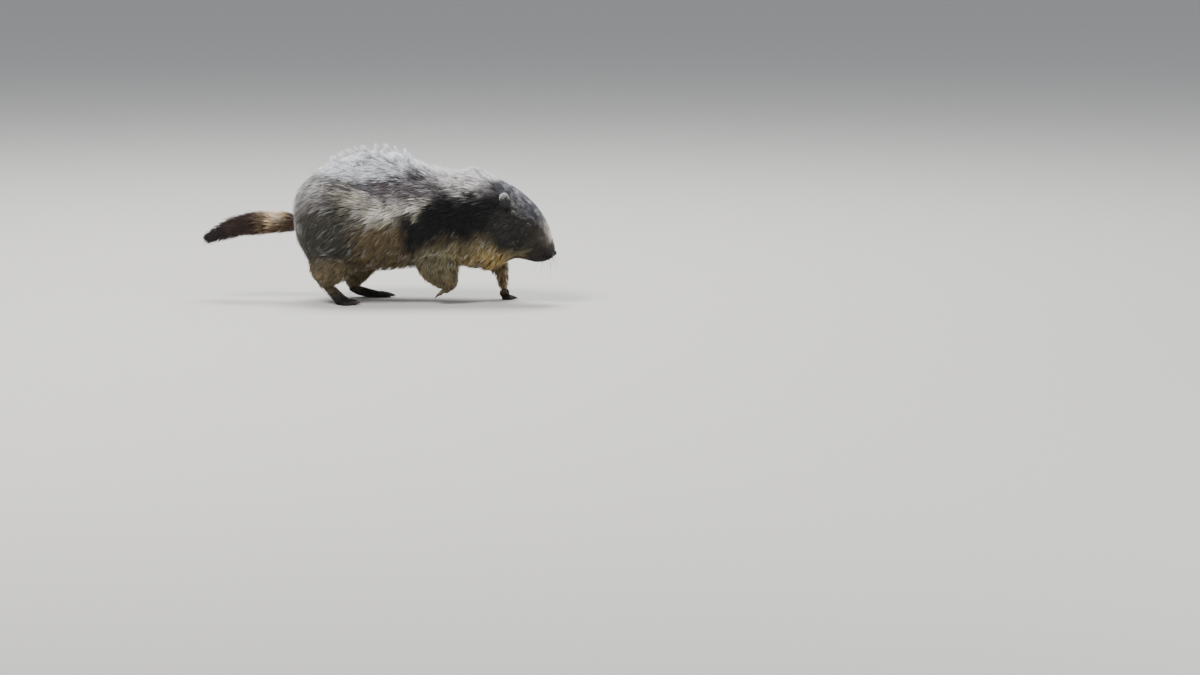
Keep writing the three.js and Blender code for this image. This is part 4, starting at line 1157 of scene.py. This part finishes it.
def makeFoot(name, sizes):
    # One surface round the sole and toes, inside the coat by its depth, and pressed flat underneath.
    tubes, claws, lift = footParts(sizes)
    depths = [footLook["soleDepth"]] + [[footLook["toeDepth"]] * 5] * sizes["toes"]
    rings = [tube.grid(tube.last, *footLook["grid"], lambda u: -np.interp(u, range(5), table))[2]
             for tube, table in zip(tubes, depths)]
    points, faces = remeshed(name, *together([closedTube(r) for r in rings]), footLook["voxel"])
    points = relaxed(points, edgesOf(faces), footLook["smooth"], keepSize)
    normals = normalsOf(points, faces)
    under = ease(-0.2, -0.7, normals @ lift)
    if sizes["toward"][2] == 0:  # a foot that stands on the floor
        points[:, 2] -= footLook["pressed"] * under * ease(9, 5, points[:, 2])
    points[:, 2] = np.maximum(points[:, 2], 0.0)
    heel, knuckles = vec(*sizes["heel"]), vec(*sizes["knuckles"])
    toward, shank = unit(vec(*sizes["toward"])), knuckles - heel
    t = (points - heel) @ shank / (shank @ shank)
    onToes = ease(0.6, 1.1, t)[:, None]
    tip = ease(0.75, 1.05, ((points - knuckles) @ toward) / sizes["toeLength"])
    lie = unit(shank) + (toward - unit(shank)) * onToes
    depth = footLook["toeDepth"] + (footLook["heelDepth"] - footLook["toeDepth"]) * ease(0.8, 0, t)
    turn = np.arctan2(normals @ lift, normals @ vec(*sizes["across"]))
    depth = depth * (1 - footLook["tipThinner"] * tip)
    return furHost(points, faces, normals, lie, near=Nearby(points, 1.2, 8), u=t * 40, turn=turn,
                   depth=depth, bare=ease(-0.4, -0.75, normals @ lift)), claws


def clawTube(root, forward, side, lift, size):
    # A horn that bends down as the square of the way along it and tapers to a blunt point.
    t = np.linspace(0, 1, clawLook["rows"])[:, None]
    radius = clawLook["radius"]
    middle = root + forward * size * t - lift * radius * clawLook["drop"] * t * t
    wide = (radius * (1 - t**1.5) + clawLook["tip"])[:, None]
    turn = circle(clawLook["around"])[None, :, None]
    p = middle[:, None] + side * np.cos(turn) * clawLook["flat"] * wide + lift * np.sin(turn) * wide
    p[..., 2] = np.maximum(p[..., 2], clawLook["lowest"])
    points, faces = closedTube(p)
    return points, outward(points, faces)


def outward(points, faces):
    # Faces turned so that they enclose a positive volume.
    a, b, c = points[faces[:, 0]], points[faces[:, 1]], points[faces[:, 2]]
    inside = np.sum(a * np.cross(b, c)) > np.sum(a.mean(0) * np.cross(b - a, c - a))
    return faces if inside else faces[:, ::-1]


# Finishes: tone, how dark and light it gets, roughness, noise scale, and the bump's strength and depth
# in metres
finishes = {
    "clawHorn": ("261f1c", (0.8, 1.3), (0.3, 0.5), 900.0, (0.3, 0.0002)),
    "lidRim": ("15100f", (0.8, 1.2), (0.3, 0.5), 2500.0, (0.3, 0.0002)),
    "noseLeather": ("1d1618", (0.85, 1.2), (0.42, 0.6), 2200.0, (0.7, 0.0004)),
    "whiskerHorn": ("2a2522", (0.8, 1.3), (0.35, 0.5), 900.0, (0.1, 0.0001)),
}


def finishOf(name):
    # A finish whose tone and roughness wander with the place on the object.
    code, light, roughness, scale, bump = finishes[name]
    g = Graph(name)
    place = g.place()
    broad, fine = g.noise(place, scale * 0.2), g.noise(place, scale)
    return g.surface(Base_Color=g.scaled(tone(code), g.ramp(broad, 0.3, 0.7, *light)),
                     Roughness=g.ramp(fine, 0.3, 0.7, *roughness), Normal=g.bump(fine, *bump))


clawFinish = finishOf("clawHorn")
footFinish = underMaterial("footSkin")
footCoat = dict(coatLook, layers=(2.6, 0.3), width=(0.3, 0.06), heights=(0.55, 1.0), clump=3.0, gather=0.2,
                sunk=0.3, spread=2.4)
footShapes = []
for lane, (name, sizes) in enumerate(feet.items()):
    host, claws = makeFoot(name, sizes)
    foot = piece(f"{name}Skin", host["points"], host["faces"], footFinish, "foot_skin",
                 {"site": sited(host["points"]), "bare": host["bare"]})
    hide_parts(name)
    tubes = [clawTube(*claw) for claw in claws]
    piece(f"{name}Claws", *together(tubes), clawFinish, "foot_skin")
    host["lane"] = np.full(len(host["points"]), lane)
    keep = (host["bare"] < 0.3)[host["faces"]].all(1).astype(float)
    footShapes += tufts(host, footCoat, keep, unwrapOf(host, (-10, 80), 4))
    print(name, "made:", len(host["faces"]), "faces")
coatPieces("coatFeet", footShapes, coatFinish, "foot_skin", 0)


# The face: eyes and lids, nose pad, ears and whiskers

def ballGrid(middle, axes, radii, rows, around):
    # An ellipsoid as rings from the tip of the first axis: the angle from that tip, and middle + the axes
    # * radii * (cos t, sin t cos a, sin t sin a).
    t, a = np.meshgrid(np.linspace(0, np.pi, rows), circle(around), indexing="ij")
    flat = np.stack([np.cos(t), np.sin(t) * np.cos(a), np.sin(t) * np.sin(a)], -1) * vec(*radii)
    return t, middle + flat @ np.array(axes)


def eyeMaterial():
    # Dark brown iris round a black pupil, under a clear wet surface.
    g = Graph("eyeBall")
    t = g.attribute("fromAxis")
    rays = g.noise(g.place(), 1800.0)
    iris = g.scaled(tone("22130b"), rays * 0.9 + 0.4)
    colour = g.blend(g.ramp(t, *eyeLook["pupil"]), tone("040303"), iris)
    colour = g.blend(g.ramp(t, *eyeLook["rim"]), colour, tone("0b0807"))
    return g.surface(Base_Color=colour, Roughness=0.1, Specular_IOR_Level=0.3,
                     Coat_Weight=0.35, Coat_Roughness=0.02)


lidLook = {"thick": 0.75, "around": 10, "steps": 72, "lift": 0.25}


def makeLids(middle, out, upward, across):
    # A round bead along the almond wide * cos a, high * sin a, on a ball a little larger than the eye.
    a = circle(lidLook["steps"])
    s = np.cos(a) * eyeLook["wide"]
    v = np.sin(a) * eyeLook["high"]
    o = np.sqrt((eyeLook["radius"] + lidLook["lift"]) ** 2 - s * s - v * v)
    rim = middle + o[:, None] * out + s[:, None] * across + v[:, None] * upward
    away = unit(rim - middle)
    alongRim = unit(np.roll(rim, -1, 0) - np.roll(rim, 1, 0))
    sideways = np.cross(away, alongRim)
    b = circle(lidLook["around"])[None, :, None]
    p = rim[:, None] + lidLook["thick"] * (np.cos(b) * away[:, None] + np.sin(b) * sideways[:, None])
    n, m = p.shape[:2]
    i, j = np.meshgrid(np.arange(n), np.arange(m), indexing="ij")
    ni, nj = (i + 1) % n, (j + 1) % m
    faces = quads(i * m + j, ni * m + j, ni * m + nj, i * m + nj)
    points = p.reshape(-1, 3)
    return points, outward(points, faces)


eyeFinish, lidFinish = eyeMaterial(), finishOf("lidRim")
for side in sides:
    middle, *axes = eyeFrame(side)
    t, p = ballGrid(middle, axes, [eyeLook["radius"]] * 3, *eyeLook["grid"])
    points, faces = closedTube(p)
    values = np.concatenate([t.ravel(), [0, np.pi]])
    eye = piece(f"eye_{side}Ball", points, outward(points, faces), eyeFinish, "eye", {"fromAxis": values})
    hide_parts(f"eye_{side}")
    piece(f"lids_{side}", *makeLids(middle, *axes), lidFinish, "face_coat")

headForward, headSide = (turnedWay(vec(*way), np.array(300.0)) for way in ((1, 0, 0), (0, 1, 0)))
padMiddle = noseTip - headForward * noseLook["back"]


def makeNose():
    # A broad pad: an ellipsoid with a groove down its middle and two slanting nostrils sunk in by bell
    # curves of the distance from them, and a ring round each nostril raised by another.
    radii = (noseLook["deep"], noseLook["high"], noseLook["wide"])
    t, p = ballGrid(padMiddle, (headForward, up, headSide), radii, *noseLook["grid"])
    q = p - padMiddle
    y, z = q @ headSide, q @ up
    front = ease(0.2, 0.9, np.cos(t))
    groove = noseLook["groove"] * np.exp(-((y / 0.7) ** 2)) * ease(3.5, 1, z) * front
    aside = np.abs(y) - noseLook["nostrilAside"]
    pit = noseLook["pit"] * np.exp(-((aside / 1.25) ** 2) - ((z - 0.25 * aside) / 1.0) ** 2) * front
    wing = noseLook["wing"] * np.exp(-(((np.hypot(aside, z) - 2.2) / 0.8) ** 2)) * front
    p = p + headForward * (wing - pit - groove)[..., None]
    points, faces = closedTube(p)
    return points, outward(points, faces)


nose = piece("nosePad", *makeNose(), finishOf("noseLeather"), "nose_skin")
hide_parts("nose")


def makeEar(side):
    # A rounded cup: an ellipsoid whose front is pressed in by a smooth step from its rim inwards, with a
    # fold across it.
    at, out, _ = onTrunk(earLook, side)
    facing = unit(out * 0.75 + headForward * 0.65)
    upward = up + out * 0.25
    upward = unit(upward - facing * (upward @ facing))
    across = np.cross(facing, upward)
    middle = at + upward * earLook["raised"] + out
    radii = (earLook["thick"] * 0.8, earLook["high"] - 1.2, earLook["wide"] - 1.2)
    t, p = ballGrid(middle, (facing, upward, across), radii, *earLook["grid"])
    rim = lambda q: np.hypot((q @ upward) / earLook["high"], (q @ across) / earLook["wide"])  # 1 there
    q = p - middle
    edge = rim(q)
    front = ease(-0.1, 0.35, np.cos(t))
    p = p - facing * (earLook["hollow"] * ease(0.92, 0.45, edge) * front)[..., None]
    fold = 1.3 * np.exp(-(((q @ across) / 2.2) ** 2)) * ease(-8, -3, -np.abs(q @ upward + 3)) * front
    p = p + facing * fold[..., None]
    points, faces = closedTube(p)
    faces = outward(points, faces)
    normals = normalsOf(points, faces)
    q = points - middle
    inner = ease(0.1, 0.5, normals @ facing) * ease(0.8, 0.6, rim(q))
    lie = unit(upward * 0.9 - out * 0.2 + q * 0.06)
    depth, turn = np.full(len(points), earLook["coat"]), np.arctan2(q @ facing, q @ across)
    return furHost(points, faces, normals, lie, near=Nearby(points, 1.5), depth=depth, bare=inner,
                   u=q @ upward, turn=turn)


earCoat = dict(footCoat, heights=(0.5, 1.0), spread=1.9)
earShapes = []
for lane, side in enumerate(sides):
    host = makeEar(side)
    ear = piece(f"ear_{side}Cup", host["points"], host["faces"], footFinish, "face_coat",
                {"site": sited(host["points"]), "bare": host["bare"] * 0.6})
    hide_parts(f"ear_{side}")
    host["lane"] = np.full(len(host["points"]), lane)
    keep = 1 - 0.75 * host["bare"][host["faces"]].mean(1)
    earShapes += tufts(host, earCoat, keep, unwrapOf(host, (-14, 14), 2))
coatPieces("coatEars", earShapes, earMaterial(), "face_coat", 0)

# Where each row of whiskers begins, how many stand in it and how far apart, single ones with a share of
# the size, and ranges that are drawn from
whiskerLook = {
    "rows": [(17.9, 0.02), (18.3, -0.22), (18.7, -0.44), (19.3, -0.62)], "size": (16, 36), "thick": 0.2,
    "single": [(16.4, 0.85, 0.6), (16.1, 0.8, 0.75), (15.8, 0.78, 0.6), (15.4, -0.25, 0.6)],
    "inRow": 4, "apart": (0.45, 0.03), "back": (0.35, 0.9), "rise": (-0.35, 0.1), "droop": (0.15, 0.35),
    "steps": 12, "around": 5,
}


def makeWhiskers():
    # Thin bristles in rows on both sides of the muzzle, and a few above the eyes and on the cheeks. Each
    # is a tapering tube along aim * t + droop * t * |t|.
    tubes = []
    stepU, stepTurn = whiskerLook["apart"]
    spots = [(u + stepU * k, turn + stepTurn * k, 1.0)
             for u, turn in whiskerLook["rows"] for k in range(whiskerLook["inRow"])]
    spots += whiskerLook["single"]
    for way in sides.values():
        for u, turn, share in spots:
            at, out, alongU = trunk.place(u, way(turn))
            at = at - out * depthOf("trunk", u)
            size = share * draw.uniform(*whiskerLook["size"])
            back, rise = draw.uniform(*whiskerLook["back"]), draw.uniform(*whiskerLook["rise"])
            aim = unit(out - alongU * back + up * rise)
            droop = unit(-alongU * 0.6 - up) * draw.uniform(*whiskerLook["droop"])
            t = np.linspace(-0.05, 1, whiskerLook["steps"])[:, None]
            middle = at + (aim * t + droop * t * np.abs(t)) * size
            sideways = unit(np.cross(aim, up))
            other = np.cross(aim, sideways)
            a = circle(whiskerLook["around"])[None, :, None]
            wide = whiskerLook["thick"] * (1 - 0.85 * np.clip(t, 0, 1))[:, None]
            points, faces = closedTube(middle[:, None] + wide * (np.cos(a) * sideways + np.sin(a) * other))
            tubes.append((points, outward(points, faces)))
    return together(tubes)


piece("whiskers", *makeWhiskers(), finishOf("whiskerHorn"), "face_coat")
print("face made; coat", coatCount)


# Floor, light and camera

roomLook = {"floorHalf": 30, "floor": "c9c7c3", "air": (0.78, 0.82, 0.88, 1), "glow": 0.55}
half = roomLook["floorHalf"]
floorMesh = bpy.data.meshes.new("floor")
floorMesh.from_pydata([(-half, -half, 0), (half, -half, 0), (half, half, 0), (-half, half, 0)], [],
                      [(0, 1, 2, 3)])
floorMesh.materials.append(Graph("paleFloor").surface(Base_Color=tone(roomLook["floor"]), Roughness=0.8))
floor = placed("floor", floorMesh)

world = bpy.data.worlds.new("paleRoom")
world.use_nodes = True
background = world.node_tree.nodes["Background"]
background.inputs[0].default_value = roomLook["air"]
background.inputs[1].default_value = roomLook["glow"]
bpy.context.scene.world = world

cameraLook = {
    "azimuth": 6.0, "elevation": 6.0, "distance": 8.0, "width": 1.98, "aside": 0.3622, "above": -0.0627,
}
turnAround, tilt = math.radians(cameraLook["azimuth"]), math.radians(cameraLook["elevation"])
viewRight = Vector((math.cos(turnAround), math.sin(turnAround), 0))
viewUp = Vector((-math.sin(turnAround) * math.sin(tilt), math.cos(turnAround) * math.sin(tilt),
                 math.cos(tilt)))
viewBack = viewRight.cross(viewUp)
target = viewRight * cameraLook["aside"] + viewUp * cameraLook["above"]
cameraData = bpy.data.cameras.new("camera")
cameraData.lens = cameraData.sensor_width * cameraLook["distance"] / cameraLook["width"]
camera = placed("camera", cameraData)
camera.location = viewBack * cameraLook["distance"]
camera.rotation_euler = (camera.location - target).to_track_quat("Z", "Y").to_euler()
bpy.context.scene.camera = camera
lightAim = Vector((0.05, 0, 0.12))


def areaLight(name, place, size, power, colour):
    # A square light that faces the middle of the animal.
    data = bpy.data.lights.new(name, "AREA")
    data.size = size
    data.energy = power
    data.color = colour
    light = placed(name, data)
    light.location = place
    light.rotation_euler = (Vector(place) - lightAim).to_track_quat("Z", "Y").to_euler()
    return light


lights = [
    areaLight("keyLight", (-1.4, -2.4, 3.4), 1.6, 190, (1, 0.98, 0.95)),
    areaLight("fillLight", (2.6, -3.0, 1.0), 2.4, 60, (0.96, 0.98, 1)),
    areaLight("rimLight", (-0.2, 1.4, 3.4), 2.0, 190, (1, 1, 1)),
]
print("floor, camera and", len(lights), "lights set")
